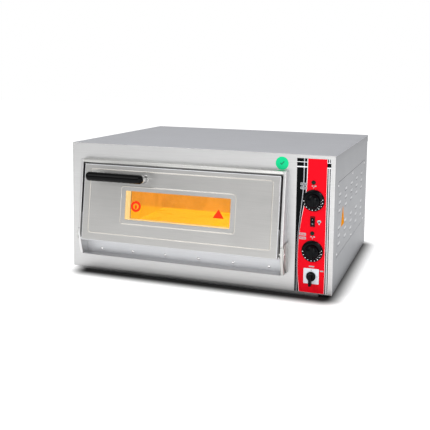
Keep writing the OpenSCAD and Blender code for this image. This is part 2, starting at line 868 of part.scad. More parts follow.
module main_switch_plate() {
  color([0.88, 0.88, 0.88]) front_plate(-overlay_t, 3) difference() {
    translate([strip_x, cam_z]) round_rect(cam_plate, cam_plate, 2);
    translate([strip_x, cam_z]) circle(7);
  }
}

module main_switch_body() {
  color(black) difference() {
    block([strip_x - 21, strip_x + 21], [sheet, 50], [cam_z - 21, cam_z + 21]);
    rod_front(strip_x, 20, 30, cam_z, 2.5 + run_gap, 2.5 + run_gap);
  }
}

module main_switch_knob() {
  color(black) {
    rod_front(strip_x, -overlay_t - 3.4, 8, cam_z, 15, 14);
    block([strip_x - 5, strip_x + 5], [-26, -overlay_t - 10], [cam_z - 27, cam_z + 12]);
    rod_front(strip_x, 19.5, 24, cam_z, 2.5, 2.5);
  }
}

// A round disc above the mouth and a triangle on the side.
module surface_labels() {
  color([0.2, 0.8, 0.5]) front_plate(0, 0.4) translate([286, 399.5]) circle(20.5);
  color([0.9, 0.7, 0.2]) side_profile(side_out, 0.4) translate([167, 217])
    polygon([[-31, -32], [31, -32], [0, 34]]);
}

module terminal_block() {
  color([0.92, 0.91, 0.86]) difference() {
    block([335, 415], [640, 668], [sheet, 24]);
    for (i = [0:4])
      translate([343 + i * 16, front_y + 654, plinth_h + 14]) cylinder(h = 20, r = 4);
  }
}

module cable_gland() {
  color([0.12, 0.12, 0.12]) difference() {
    union() {
      rod_front(gland_x, body_d - 1.2, 14, gland_z, 10, 10);
      translate([gland_x, front_y + body_d + 6, plinth_h + gland_z]) rotate([90, 0, 0])
        cylinder(h = 6 + sheet, r = 16, $fn = 6);
      rod_front(gland_x, body_d + gland_out, gland_out - 6, gland_z, 11, 13.5);
      translate([gland_x, front_y + body_d - 2 * sheet, plinth_h + gland_z]) rotate([90, 0, 0])
        cylinder(h = 5, r = 15, $fn = 6);
    }
    rod_front(gland_x, body_d + gland_out + 1, gland_out + 30, gland_z, gland_bore_r, gland_bore_r);
  }
}

front_panel();
top_cover();
left_side_panel();
right_side_panel();
service_panel();
casing_screws();
back_panel();
surface_labels();
base_pan();
plinth();
compartment_divider();
mouth_frame();
sill_plate();
sill_rivets();
door_seat();
seat_gasket();
chamber_shell();
roof_insulation();
floor_insulation();
left_insulation();
right_insulation();
back_insulation();
hearth_stones();
stone_supports();
upper_elements();
lower_elements();
upper_hangers();
element_flanges();
lamp_holder();
lamp_bulb();
lamp_glass();
door_outer_skin();
door_inner_skin();
door_insulation();
window_tunnel();
outer_glass();
inner_glass();
window_symbols();
handle_grip();
handle_standoffs();
handle_bolts();
hinge_arms();
hinge_pins();
hinge_brackets();
door_stops();
control_overlay();
upper_knob();
lower_knob();
upper_thermostat();
lower_thermostat();
upper_sensor();
lower_sensor();
pilot_lights();
rocker_housing();
lamp_rocker();
main_switch_plate();
main_switch_body();
main_switch_knob();
terminal_block();
cable_gland();
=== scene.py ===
"""Looks of a single-deck electric oven: meshes and finishes for every assembly of it.

Lengths are millimetres until a mesh is made, and metres after that. X runs to the oven's
right, Y to its back and Z up. Depths count back from the front sheet, heights count up from
the casing's lower edge.
"""

import json
import logging
import math
from dataclasses import dataclass
from enum import Enum, IntEnum
from typing import Callable, Sequence

import bpy
import numpy as np
from mathutils import Matrix

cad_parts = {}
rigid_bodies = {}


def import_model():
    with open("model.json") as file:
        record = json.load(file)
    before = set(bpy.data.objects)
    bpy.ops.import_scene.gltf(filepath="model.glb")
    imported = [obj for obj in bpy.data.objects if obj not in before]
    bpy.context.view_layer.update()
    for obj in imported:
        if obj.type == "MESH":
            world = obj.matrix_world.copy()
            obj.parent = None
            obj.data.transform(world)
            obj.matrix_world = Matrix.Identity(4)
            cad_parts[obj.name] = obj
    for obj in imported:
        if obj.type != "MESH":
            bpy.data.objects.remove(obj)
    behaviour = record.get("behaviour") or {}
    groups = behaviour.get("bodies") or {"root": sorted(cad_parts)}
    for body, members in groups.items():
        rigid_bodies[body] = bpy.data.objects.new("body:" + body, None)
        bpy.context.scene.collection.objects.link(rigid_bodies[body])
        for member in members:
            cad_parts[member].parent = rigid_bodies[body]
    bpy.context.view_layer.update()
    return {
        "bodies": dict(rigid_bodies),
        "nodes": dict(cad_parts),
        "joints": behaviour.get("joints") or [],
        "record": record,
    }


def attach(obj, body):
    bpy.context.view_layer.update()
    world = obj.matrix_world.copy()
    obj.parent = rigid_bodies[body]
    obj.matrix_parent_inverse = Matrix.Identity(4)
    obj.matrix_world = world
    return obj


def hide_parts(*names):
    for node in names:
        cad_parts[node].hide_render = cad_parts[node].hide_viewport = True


logging.basicConfig(level=logging.INFO, format="%(message)s")
LOG = logging.getLogger("oven")

FRONT_Y = -326.182
PLINTH_H = 8.0
BODY_W, BODY_D, BODY_H = 900.0, 720.0, 430.0
SHEET = 1.2
MOUTH_X = -48.0
LEAN = math.radians(7.2)
DOOR_OUT, DOOR_Z = 57.0, 110.5
STRIP_X = 385.0
KNOB_X = 386.5

Colour = tuple[float, float, float]
Place = Callable[[np.ndarray], np.ndarray]
Pairs = list[tuple[float, float]]


class Body(Enum):
    """Bodies that pieces ride on."""

    OVEN = "oven"
    DOOR = "door"
    UPPER = "upper_dial"
    LOWER = "lower_dial"
    LAMP = "lamp_switch"
    MAIN = "main_switch"


class Grain(Enum):
    """Direction of a brushed grain, as the index of the axis it runs along."""

    ALONG_X = 0
    ALONG_Y = 1
    ALONG_Z = 2


class Ink(IntEnum):
    """Inks of the printed strip, as material numbers."""

    RED = 0
    BLACK = 1
    WHITE = 2
    GREY = 3
    MARK = 4


# ---------- numeric surfaces ----------


def at_front(p: np.ndarray) -> np.ndarray:
    """Places (x, depth, height) points: y = FRONT_Y + depth, z = PLINTH_H + height."""
    return p + np.array([0.0, FRONT_Y, PLINTH_H])


def at_door(p: np.ndarray) -> np.ndarray:
    """Places (x, y, s) points of the closed door in the row frame.

    Args:
        p: points (..., 3) of X from the door's middle, Y back from its skin and s up its slope.

    Returns:
        y' = y cos a + s sin a and z' = s cos a - y sin a, moved to the door's lower front edge.
    """
    c, s = math.cos(LEAN), math.sin(LEAN)
    out = np.empty_like(p, dtype=float)
    out[..., 0] = p[..., 0] + MOUTH_X
    out[..., 1] = p[..., 1] * c + p[..., 2] * s + FRONT_Y - DOOR_OUT
    out[..., 2] = p[..., 2] * c - p[..., 1] * s + PLINTH_H + DOOR_Z
    return out


def from_side(p: np.ndarray) -> np.ndarray:
    """Turns (depth, x, height) plate points into (x, depth, height) and places them."""
    return at_front(p[..., [1, 0, 2]])


def rounded_outline(w: float, h: float, r: float, cx: float = 0.0, cz: float = 0.0,
                    k: int = 6) -> np.ndarray:
    """Outline of a rectangle with round corners.

    Each corner is centre + r (cos t, sin t), with t over a quarter turn.

    Args:
        w: width.
        h: height.
        r: corner radius.
        cx: middle in X.
        cz: middle in Z.
        k: steps in each corner.

    Returns:
        Points (4 (k + 1), 2), counter-clockwise.
    """
    r = max(min(r, w / 2 - 1e-3, h / 2 - 1e-3), 1e-3)
    t = np.linspace(0, math.pi / 2, k + 1)
    start = np.arange(4) * math.pi / 2
    ang = (start[:, None] + t[None, :]).ravel()
    sx = np.repeat([1, -1, -1, 1], k + 1) * (w / 2 - r) + cx
    sz = np.repeat([1, 1, -1, -1], k + 1) * (h / 2 - r) + cz
    return np.stack([sx + r * np.cos(ang), sz + r * np.sin(ang)], -1)


def round_polygon(points: Pairs, r: float, k: int = 5) -> np.ndarray:
    """A polygon with each corner swept by the curve a (1-t)^2 + 2 c t (1-t) + b t^2.

    Args:
        points: corners in order.
        r: distance from a corner at which its curve starts.
        k: steps in each corner.

    Returns:
        Points (n, 2).
    """
    p = np.array(points, float)
    back, ahead = np.roll(p, 1, 0) - p, np.roll(p, -1, 0) - p
    lb = np.linalg.norm(back, axis=1, keepdims=True)
    la = np.linalg.norm(ahead, axis=1, keepdims=True)
    a = p + back / lb * np.minimum(r, lb * 0.45)
    b = p + ahead / la * np.minimum(r, la * 0.45)
    t = np.linspace(0, 1, k + 1)[None, :, None]
    curve = a[:, None] * (1 - t) ** 2 + 2 * p[:, None] * t * (1 - t) + b[:, None] * t ** 2
    return curve.reshape(-1, 2)


def inset(outline: np.ndarray, d: float) -> np.ndarray:
    """Moves an outline inwards by d along the mean normal of its neighbours.

    Args:
        outline: points (n, 2) in order.
        d: distance.

    Returns:
        Points (n, 2).
    """
    tangent = np.roll(outline, -1, 0) - np.roll(outline, 1, 0)
    tangent /= np.maximum(np.linalg.norm(tangent, axis=1, keepdims=True), 1e-9)
    normal = np.stack([-tangent[:, 1], tangent[:, 0]], -1)
    x, z = outline[:, 0], outline[:, 1]
    area = 0.5 * np.sum(x * np.roll(z, -1) - np.roll(x, -1) * z)
    return outline + normal * (d if area > 0 else -d)


def grid_faces(rows: int, cols: int, wrap_rows: bool = False,
               wrap_cols: bool = False) -> np.ndarray:
    """Quads of a parametric grid whose points are stored row by row.

    Args:
        rows: number of rows.
        cols: number of columns.
        wrap_rows: whether the last row joins the first.
        wrap_cols: whether the last column joins the first.

    Returns:
        Indices (n, 4).
    """
    i = np.arange(rows if wrap_rows else rows - 1)[:, None]
    j = np.arange(cols if wrap_cols else cols - 1)[None, :]
    i2, j2 = (i + 1) % rows, (j + 1) % cols
    return np.stack([i * cols + j, i * cols + j2, i2 * cols + j2, i2 * cols + j], -1).reshape(-1, 4)


class Surface:
    """Gathers closed numeric shells and makes one mesh object of them."""

    def __init__(self, name: str) -> None:
        """Starts an empty surface called name.

        Args:
            name: Name of its mesh.
        """
        self.name = name
        self.points: list[np.ndarray] = []
        self.faces: list[Sequence[int]] = []
        self.slots: list[int] = []
        self.count = 0

    def add(self, points: np.ndarray, faces: list, slots: int | Sequence[int] = 0) -> "Surface":
        """Adds a closed shell, turned so that its faces look outwards.

        The shell's volume is the sum of p0 . (p1 x p2) / 6 over its triangles, and a negative
        one turns every face round.

        Args:
            points: (n, 3), in mm.
            faces: index lists.
            slots: one material number, or one for each face.

        Returns:
            The surface, so that calls chain.
        """
        pts = points.reshape(-1, 3)
        mid = pts.mean(0)
        volume = 0.0
        for f in faces:
            q = pts[list(f)] - mid
            volume += float(np.sum(np.cross(q[1:-1], q[2:]) @ q[0]))
        if volume < 0:
            faces = [tuple(f)[::-1] for f in faces]
        self.faces.extend(tuple(int(i) + self.count for i in f) for f in faces)
        self.slots.extend([slots] * len(faces) if isinstance(slots, int) else list(slots))
        self.points.append(pts)
        self.count += len(pts)
        return self

    def loft(self, rings: np.ndarray, place: Place, slot: int | np.ndarray = 0,
             closed: bool = False) -> "Surface":
        """Joins rings of the same length, P(i, j) = rings[i][j].

        Args:
            rings: points (rows, n, 3).
            place: moves them into the row frame.
            slot: material number, or one for each face between the rings.
            closed: joins the last ring to the first instead of capping both.

        Returns:
            The surface.
        """
        rows, n = rings.shape[:2]
        faces = [tuple(f) for f in grid_faces(rows, n, closed, True)]
        slots = [slot] * len(faces) if isinstance(slot, int) else [int(v) for v in slot.ravel()]
        if not closed:
            faces += [tuple(range(n))[::-1], tuple(range((rows - 1) * n, rows * n))]
            slots += [slot if isinstance(slot, int) else 0] * 2
        return self.add(place(rings), faces, slots)

    def plate(self, outline: np.ndarray, y0: float, y1: float, bevel: float, place: Place,
              slot: int = 0) -> "Surface":
        """A plate between y0 and y1 with an outline and rounded rims.

        The rim is inset by b (1 - cos t) at a depth of b (1 - sin t).

        Args:
            outline: (n, 2) points of X and Z.
            y0: front face.
            y1: back face.
            bevel: rim radius b.
            place: moves the plate into the row frame.
            slot: material number.

        Returns:
            The surface.
        """
        t = np.linspace(0, math.pi / 2, 4)
        off = np.concatenate([bevel * (1 - np.cos(t[::-1])), bevel * (1 - np.cos(t))])
        dep = np.concatenate([y0 + bevel * (1 - np.sin(t[::-1])), y1 - bevel * (1 - np.sin(t))])
        rings = np.stack([_with_depth(inset(outline, o), d) for o, d in zip(off, dep)])
        return self.loft(rings, place, slot)

    def bar(self, section: np.ndarray, x0: float, x1: float, place: Place, slot: int = 0,
            bevel: float = 0.4) -> "Surface":
        """A section of (depth, height) drawn along X, with rounded ends.

        Args:
            section: (n, 2) points.
            x0: start.
            x1: end.
            place: moves the bar into the row frame.
            slot: material number.
            bevel: radius of the end rims.

        Returns:
            The surface.
        """
        xs = [x0, x0 + bevel * 0.3, x0 + bevel, x1 - bevel, x1 - bevel * 0.3, x1]
        off = [bevel, bevel * 0.3, 0, 0, bevel * 0.3, bevel]
        rings = np.stack([np.insert(inset(section, o), 0, x, axis=1) for x, o in zip(xs, off)])
        return self.loft(rings, place, slot)

    def turn(self, profile: Pairs, origin: Sequence[float], place: Place,
             axis: int = 1, n: int = 48, slot: int = 0) -> "Surface":
        """A turned piece, P(i, t) = origin + a_i axis + r_i (cos t, sin t).

        Args:
            profile: (a, r) pairs along the axis, from one pole to the other.
            origin: where a is 0.
            place: moves the piece into the row frame.
            axis: 0, 1 or 2 for X, Y or Z.
            n: steps round.
            slot: material number.

        Returns:
            The surface.
        """
        prof = np.array(profile, float)
        t = np.linspace(0, 2 * math.pi, n, endpoint=False)
        rad = np.maximum(prof[:, 1], 1e-3)[:, None] * np.ones(n)
        u, v = [i for i in range(3) if i != axis]
        pts = np.zeros((len(prof), n, 3))
        pts[..., axis] = prof[:, 0][:, None] + origin[axis]
        pts[..., u] = rad * np.cos(t) + origin[u]
        pts[..., v] = rad * np.sin(t) + origin[v]
        return self.loft(pts, place, slot)

    def tube(self, path: np.ndarray, r: float, place: Place, n: int = 16) -> "Surface":
        """A tube round a path, P(i, t) = path_i + r (cos t N_i + sin t B_i).

        Args:
            path: (m, 3) points.
            r: radius.
            place: moves the tube into the row frame.
            n: steps round.

        Returns:
            The surface.
        """
        tan = np.gradient(path, axis=0)
        tan /= np.linalg.norm(tan, axis=1, keepdims=True)
        nor = np.cross(np.array([0.0, 1.0, 0.0]), tan)
        nor /= np.maximum(np.linalg.norm(nor, axis=1, keepdims=True), 1e-9)
        bin_ = np.cross(tan, nor)
        t = np.linspace(0, 2 * math.pi, n, endpoint=False)
        rings = path[:, None] + r * (np.cos(t)[None, :, None] * nor[:, None]
                                     + np.sin(t)[None, :, None] * bin_[:, None])
        return self.loft(rings, place)

    def skin(self, front: np.ndarray, back: np.ndarray, place: Place, slot: int,
             slots: np.ndarray) -> "Surface":
        """A thin sheet between two grids of the same size, closed round its rim.

        Args:
            front: (rows, cols, 3) points.
            back: (rows, cols, 3) points.
            place: moves the sheet into the row frame.
            slot: material number of the back and rim.
            slots: (rows - 1, cols - 1) material numbers of the front.

        Returns:
            The surface.
        """
        rows, cols = front.shape[:2]
        quads = grid_faces(rows, cols)
        idx = np.arange(rows * cols).reshape(rows, cols)
        rim = np.concatenate([idx[0, :-1], idx[:-1, -1], idx[-1, :0:-1], idx[:0:-1, 0]])
        nxt, off = np.roll(rim, -1), rows * cols
        side = np.stack([nxt, rim, rim + off, nxt + off], -1)
        faces = [tuple(f) for f in (*quads, *(quads[:, ::-1] + off), *side)]
        marks = [int(v) for v in slots.ravel()] + [slot] * (len(faces) - len(quads))
        return self.add(place(np.concatenate([front.reshape(-1, 3), back.reshape(-1, 3)])),
                        faces, marks)

    def build(self, materials: Sequence[bpy.types.Material], body: Body, node: str, slot: str,
              angle: float = 32.0) -> None:
        """Makes the mesh object, gives it to its body and logs it.

        Args:
            materials: one for each material number.
            body: what it rides on.
            node: the CAD node it replaces.
            slot: not used.
            angle: edges sharper than this stay sharp, in degrees.
        """
        mesh = bpy.data.meshes.new(self.name)
        mesh.from_pydata((np.concatenate(self.points) * 0.001).tolist(), [], self.faces)
        mesh.polygons.foreach_set("material_index", np.array(self.slots, np.int32))
        mesh.polygons.foreach_set("use_smooth", np.ones(len(self.faces), bool))
        mesh.set_sharp_from_angle(angle=math.radians(angle))
        mesh.validate()
        mesh.update()
        for m in materials:
            mesh.materials.append(m)
        obj = bpy.data.objects.new(self.name, mesh)
        bpy.context.scene.collection.objects.link(obj)
        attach(obj, body.value)
        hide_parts(node)
        LOG.info("%s: %d faces on %s", self.name, len(self.faces), body.value)


def _with_depth(outline: np.ndarray, depth: float) -> np.ndarray:
    """Turns (x, z) points into (x, depth, z) points."""
    return np.insert(outline, 1, depth, axis=1)


def circles(rows: Sequence[tuple], x: float, z: float, n: int) -> np.ndarray:
    """Rings (x + r cos t, depth, z + r sin t) of n points, one for each (depth, r) of rows.

    Args:
        rows: Depth and radius of each ring.
        x: Centre across.
        z: Centre in height.
        n: Points in a ring.

    Returns:
        (rings, n, 3) array.
    """
    t = np.linspace(0, 2 * math.pi, n, endpoint=False)
    return np.stack([np.stack([x + r * np.cos(t), np.full_like(t, d), z + r * np.sin(t)], -1)
                     for d, r in rows])


def frames(rows: Sequence[tuple[float, float, float]], r: float, x: float, z: float) -> np.ndarray:
    """Rounded rectangles about (x, z), one for each (depth, width, height) of rows."""
    return np.stack([_with_depth(rounded_outline(w, h, r, x, z), d) for d, w, h in rows])


def arc(cx: float, cy: float, r: float, a0: float, a1: float, k: int = 6) -> Pairs:
    """Points (cx + r cos a, cy + r sin a) from a0 to a1 degrees."""
    t = np.radians(np.linspace(a0, a1, k + 1))
    return [(float(x), float(y)) for x, y in zip(cx + r * np.cos(t), cy + r * np.sin(t))]


# ---------- shader maths ----------


def operator(kind: str, swapped: bool = False) -> Callable[["Sock", "Sock | float"], "Sock"]:
    """An operator of Sock.

    Args:
        kind: operation of its Math node.
        swapped: whether the socket is the second operand.

    Returns:
        The method.
    """
    def method(self: "Sock", other: "Sock | float") -> "Sock":
        """Adds the Math node."""
        return self.math(kind, *((other, self) if swapped else (self, other)))
    return method


class Sock:
    """A value socket whose operators make Math nodes."""

    __add__, __radd__ = operator("ADD"), operator("ADD", True)
    __sub__, __rsub__ = operator("SUBTRACT"), operator("SUBTRACT", True)
    __mul__, __rmul__ = operator("MULTIPLY"), operator("MULTIPLY", True)
    __truediv__, __rtruediv__ = operator("DIVIDE"), operator("DIVIDE", True)
    __pow__, __rpow__ = operator("POWER"), operator("POWER", True)

    def __init__(self, graph: "Graph", socket: bpy.types.NodeSocket) -> None:
        """Wraps a socket of a graph."""
        self.graph, self.socket = graph, socket

    def math(self, kind: str, *args: "Sock | float") -> "Sock":
        """Adds a Math node of that kind over args."""
        return self.graph.node("ShaderNodeMath", {"operation": kind}, dict(enumerate(args)))

    def __neg__(self) -> "Sock":
        """The value times -1."""
        return self.math("MULTIPLY", self, -1.0)

    def __abs__(self) -> "Sock":
        """The value without its sign."""
        return self.math("ABSOLUTE", self)

    def at_least(self, o: "Sock | float") -> "Sock":
        """The greater of both."""
        return self.math("MAXIMUM", self, o)

    def root(self) -> "Sock":
        """Square root of the value."""
        return self.math("SQRT", self)

    def ramp(self, a: float, b: float) -> "Sock":
        """0 below a and 1 above b, smooth between them."""
        return self.graph.node("ShaderNodeMapRange", {"interpolation_type": "SMOOTHSTEP"},
                               {"Value": self, "From Min": a, "From Max": b})


class Graph:
    """Node graph of one material, around a Principled shader."""

    def __init__(self, name: str) -> None:
        """Makes the material and its shader.

        Args:
            name: Name of the material.
        """
        self.material = bpy.data.materials.new(name)
        self.material.use_nodes = True
        self.tree = self.material.node_tree
        self.shader = self.tree.nodes["Principled BSDF"]

    def node(self, kind: str, settings: dict, inputs: dict, out: int | str = 0) -> Sock:
        """Adds any node.

        Args:
            kind: node type.
            settings: attributes of the node.
            inputs: sockets or constants by name or number.
            out: output to return.

        Returns:
            That output.
        """
        n = self.tree.nodes.new(kind)
        for key, value in settings.items():
            setattr(n, key, value)
        for key, value in inputs.items():
            if isinstance(value, Sock):
                self.tree.links.new(value.socket, n.inputs[key])
            else:
                n.inputs[key].default_value = value
        return Sock(self, n.outputs[out])

    def coords(self) -> Sock:
        """Object coordinates, which are the row frame in metres."""
        return self.node("ShaderNodeTexCoord", {}, {}, "Object")

    def axes(self) -> tuple[Sock, Sock, Sock]:
        """X, Y and Z of the object coordinates.

        Returns:
            The three outputs.
        """
        n = self.tree.nodes.new("ShaderNodeSeparateXYZ")
        self.tree.links.new(self.coords().socket, n.inputs[0])
        return Sock(self, n.outputs[0]), Sock(self, n.outputs[1]), Sock(self, n.outputs[2])

    def scaled(self, x: float, y: float, z: float) -> Sock:
        """Object coordinates times (x, y, z)."""
        return self.node("ShaderNodeVectorMath", {"operation": "MULTIPLY"},
                         {0: self.coords(), 1: (x, y, z)})

    def noise(self, where: Sock, scale: float, detail: float = 3.0, rough: float = 0.5) -> Sock:
        """Noise about 0.5."""
        return self.node("ShaderNodeTexNoise", {}, {"Vector": where, "Scale": scale,
                                                    "Detail": detail, "Roughness": rough})

    def cells(self, where: Sock, scale: float) -> Sock:
        """Distance to the nearest point of a Voronoi pattern."""
        return self.node("ShaderNodeTexVoronoi", {}, {"Vector": where, "Scale": scale}, "Distance")

    def mix(self, t: "Sock | float", a: "Sock | Colour", b: "Sock | Colour") -> Sock:
        """Colour mix, a where t is 0 and b where it is 1."""
        full = [c if isinstance(c, Sock) else (*c, 1.0) for c in (a, b)]
        return self.node("ShaderNodeMix", {"data_type": "RGBA"}, {0: t, 6: full[0], 7: full[1]}, 2)

    def bump(self, height: Sock, strength: float, distance: float = 0.001) -> None:
        """Links a bump of the given height to the shader.

        Args:
            height: Height of the surface.
            strength: Weight of the bump.
            distance: Height in metres that 1 stands for.
        """
        n = self.node("ShaderNodeBump", {}, {"Height": height, "Strength": strength,
                                             "Distance": distance})
        self.link("Normal", n)

    def shine(self, colour: "Sock | Colour", level: Sock) -> None:
        """Links colour times level to the shader's emission."""
        self.link("Emission Color", self.node("ShaderNodeVectorMath", {"operation": "SCALE"},
                                              {0: colour, "Scale": level}))

    def link(self, name: str, value: Sock) -> None:
        """Links a varying value into the shader."""
        self.tree.links.new(value.socket, self.shader.inputs[name])

    def set(self, **constants: float) -> None:
        """Sets shader constants, with _ in a name standing for a space."""
        for key, value in constants.items():
            self.shader.inputs[key.replace("_", " ")].default_value = value


# ---------- finishes ----------


def shade(colour: Colour, k: float) -> Colour:
    """The colour times k, no channel above 1."""
    return tuple(min(c * k, 1.0) for c in colour)


@dataclass(frozen=True)
class Brushed:
    """Brushed stainless sheet."""

    name: str
    tint: Colour = (0.60, 0.60, 0.585)
    rough: float = 0.34
    grain: Grain = Grain.ALONG_X
    streak: float = 0.08
    relief: float = 0.02
    metal: float = 1.0

    def make(self) -> bpy.types.Material:
        """Fine streaks along the grain, broad smudges and a faint bump.

        Returns:
            The material.
        """
        g = Graph(self.name)
        stretch = [140.0, 140.0, 140.0]
        stretch[self.grain.value] = 2.5
        fine = g.noise(g.scaled(*stretch), 4.0, 6.0, 0.65)
        smudge = g.noise(g.coords(), 7.0, 4.0, 0.6)
        tone = (fine * 0.75 + smudge * 0.25).ramp(0.25, 0.75)
        g.link("Base Color", g.mix(tone, shade(self.tint, 0.94), shade(self.tint, 1.05)))
        g.link("Roughness", self.rough + (fine - 0.5) * self.streak + (smudge - 0.5) * 0.12)
        g.bump(fine, self.relief, 0.0004)
        g.set(Metallic=self.metal)
        return g.material


@dataclass(frozen=True)
class Polished:
    """Bright turned or pressed metal with fine scratches."""

    name: str
    tint: Colour = (0.80, 0.80, 0.80)
    rough: float = 0.16

    def make(self) -> bpy.types.Material:
        """Scratches in the roughness and a faint grime in the tint.

        Returns:
            The material.
        """
        g = Graph(self.name)
        scratch = g.noise(g.scaled(60.0, 300.0, 120.0), 6.0, 5.0, 0.7)
        grime = g.noise(g.coords(), 60.0, 3.0)
        g.link("Base Color", g.mix(grime.ramp(0.35, 0.8), self.tint, shade(self.tint, 0.8)))
        g.link("Roughness", self.rough + scratch * 0.12)
        g.bump(scratch, 0.04, 0.0003)
        g.set(Metallic=1.0)
        return g.material


@dataclass(frozen=True)
class Plastic:
    """Moulded plastic, glossy or matte."""

    name: str
    tint: Colour = (0.012, 0.012, 0.014)
    rough: float = 0.18
    coat: float = 0.0
    pits: float = 0.03
    specular: float = 0.12

    def make(self) -> bpy.types.Material:
        """A fine moulding texture and finger marks in the roughness.

        Returns:
            The material.
        """
        g = Graph(self.name)
        pits = g.noise(g.coords(), 900.0, 2.0)
        marks = g.noise(g.coords(), 40.0, 4.0)
        g.link("Base Color", g.mix(marks, shade(self.tint, 0.8), self.tint))
        g.link("Roughness", self.rough + (marks - 0.4) * 0.14)
        g.bump(pits, self.pits, 0.0003)
        g.set(Coat_Weight=self.coat, Coat_Roughness=0.06, Specular_IOR_Level=self.specular)
        return g.material


@dataclass(frozen=True)
class Print:
    """Ink on satin film."""

    name: str
    ink: Colour
    rough: float = 0.32
    specular: float = 0.10

    def make(self) -> bpy.types.Material:
        """A weave of the film in the roughness, with faint unevenness of the ink.

        Returns:
            The material.
        """
        g = Graph(self.name)
        cloud = g.noise(g.coords(), 25.0, 3.0)
        fine = g.noise(g.coords(), 1500.0, 2.0)
        g.link("Base Color", g.mix(cloud, self.ink, shade(self.ink, 0.9)))
        g.link("Roughness", self.rough + (fine - 0.5) * 0.1)
        g.bump(fine, 0.03, 0.0002)
        g.set(Specular_IOR_Level=self.specular)
        return g.material


@dataclass(frozen=True)
class Wool:
    """Fibrous insulation or braid."""

    name: str
    tint: Colour
    scale: float = 260.0

    def make(self) -> bpy.types.Material:
        """Stretched fibres in colour and bump.

        Returns:
            The material.
        """
        g = Graph(self.name)
        fibre = g.noise(g.scaled(1.0, 0.35, 1.6), self.scale, 6.0, 0.75)
        clump = g.noise(g.coords(), self.scale * 0.12, 3.0)
        tone = (fibre * 0.6 + clump * 0.4).ramp(0.3, 0.7)
        g.link("Base Color", g.mix(tone, shade(self.tint, 0.55), self.tint))
        g.bump(fibre, 0.8, 0.002)
        g.set(Roughness=0.95)
        return g.material


@dataclass(frozen=True)
class HotSheet:
    """Aluminised chamber sheet with the light of the lamp and elements painted on as emission."""

    name: str
    low: Colour
    high: Colour
    painted_glow: float
    reflection_split: tuple[float, float] = (0.158, 0.172)
    reflection_slope: float = 0.224
    tint: Colour = (0.55, 0.45, 0.30)

    def make(self) -> bpy.types.Material:
        """Painted glow, low to high across the plane z + reflection_slope y = reflection_split as a
        painted reflection of the lit stones, and painted brighter towards +X.

        Returns:
            The material.
        """
        g = Graph(self.name)
        x, y, z = g.axes()
        soot = g.noise(g.coords(), 14.0, 5.0, 0.6)
        fine = g.noise(g.scaled(8.0, 60.0, 60.0), 6.0, 4.0)
        g.link("Base Color", g.mix(soot.ramp(0.3, 0.8), self.tint, shade(self.tint, 0.6)))
        # Painted light: the glow is brighter towards +X.
        side = 0.80 + x.ramp(-0.45, 0.35) * 0.22
        level = side * (0.92 + soot * 0.16)
        # Painted reflection of the lit stones: the low colour lies below the plane.
        painted_glow_colour = g.mix((z + y * self.reflection_slope).ramp(*self.reflection_split), self.low, self.high)
        g.shine(painted_glow_colour, level)
        g.link("Roughness", 0.45 + fine * 0.25)
        g.bump(fine, 0.1, 0.0005)
        g.set(Metallic=0.4, Emission_Strength=self.painted_glow)
        return g.material


@dataclass(frozen=True)
class Stone:
    """Fired hearth tile, with warm light painted on as emission."""

    name: str
    painted_glow: float = 0.85
    light: Colour = (1.0, 0.50, 0.008)

    def make(self) -> bpy.types.Material:
        """Grains, flour marks and scorched spots, with painted light that is brighter towards +X.

        Returns:
            The material.
        """
        g = Graph(self.name)
        x, _, _ = g.axes()
        grain = g.noise(g.coords(), 420.0, 4.0, 0.7)
        pores = g.cells(g.coords(), 260.0)
        scorch = g.noise(g.coords(), 9.0, 5.0, 0.6)
        body = g.mix(grain.ramp(0.3, 0.7), (0.62, 0.50, 0.34), (0.78, 0.68, 0.52))
        g.link("Base Color", g.mix(scorch.ramp(0.5, 0.75) * 0.6, body, (0.24, 0.15, 0.08)))
        # Painted light: warm emission level, brighter towards +X.
        level = (0.80 + x.ramp(-0.40, 0.30) * 0.28) * (0.95 + grain * 0.1)
        g.shine(self.light, level)
        g.bump(grain + pores.ramp(0.0, 0.25) * 0.5, 0.35, 0.0008)
        g.set(Roughness=0.88, Emission_Strength=self.painted_glow)
        return g.material


@dataclass(frozen=True)
class Glass:
    """Clear or tinted glass with faint dust."""

    name: str
    tint: Colour = (0.97, 0.98, 0.97)
    rough: float = 0.01

    def make(self) -> bpy.types.Material:
        """Transmission with dust in the roughness.

        Returns:
            The material.
        """
        g = Graph(self.name)
        dust = g.noise(g.coords(), 55.0, 5.0, 0.65)
        g.link("Roughness", self.rough + dust.ramp(0.62, 0.9) * 0.06)
        g.link("Base Color", g.mix(dust, self.tint, shade(self.tint, 0.985)))
        g.set(Transmission_Weight=1.0, IOR=1.15)
        return g.material


@dataclass(frozen=True)
class Glow:
    """A lit lens or bulb."""

    name: str
    tint: Colour
    light: Colour
    strength: float
    rough: float = 0.3

    def make(self) -> bpy.types.Material:
        """A mottled lens over a light.

        Returns:
            The material.
        """
        g = Graph(self.name)
        facet = g.cells(g.coords(), 900.0)
        g.link("Base Color", g.mix(facet.ramp(0.0, 0.5), shade(self.tint, 0.6), self.tint))
        g.link("Emission Color", g.mix(facet.ramp(0.0, 0.6), self.light, shade(self.light, 0.7)))
        g.bump(facet, 0.15, 0.0004)
        g.set(Roughness=self.rough, Emission_Strength=self.strength, Specular_IOR_Level=0.15)
        return g.material


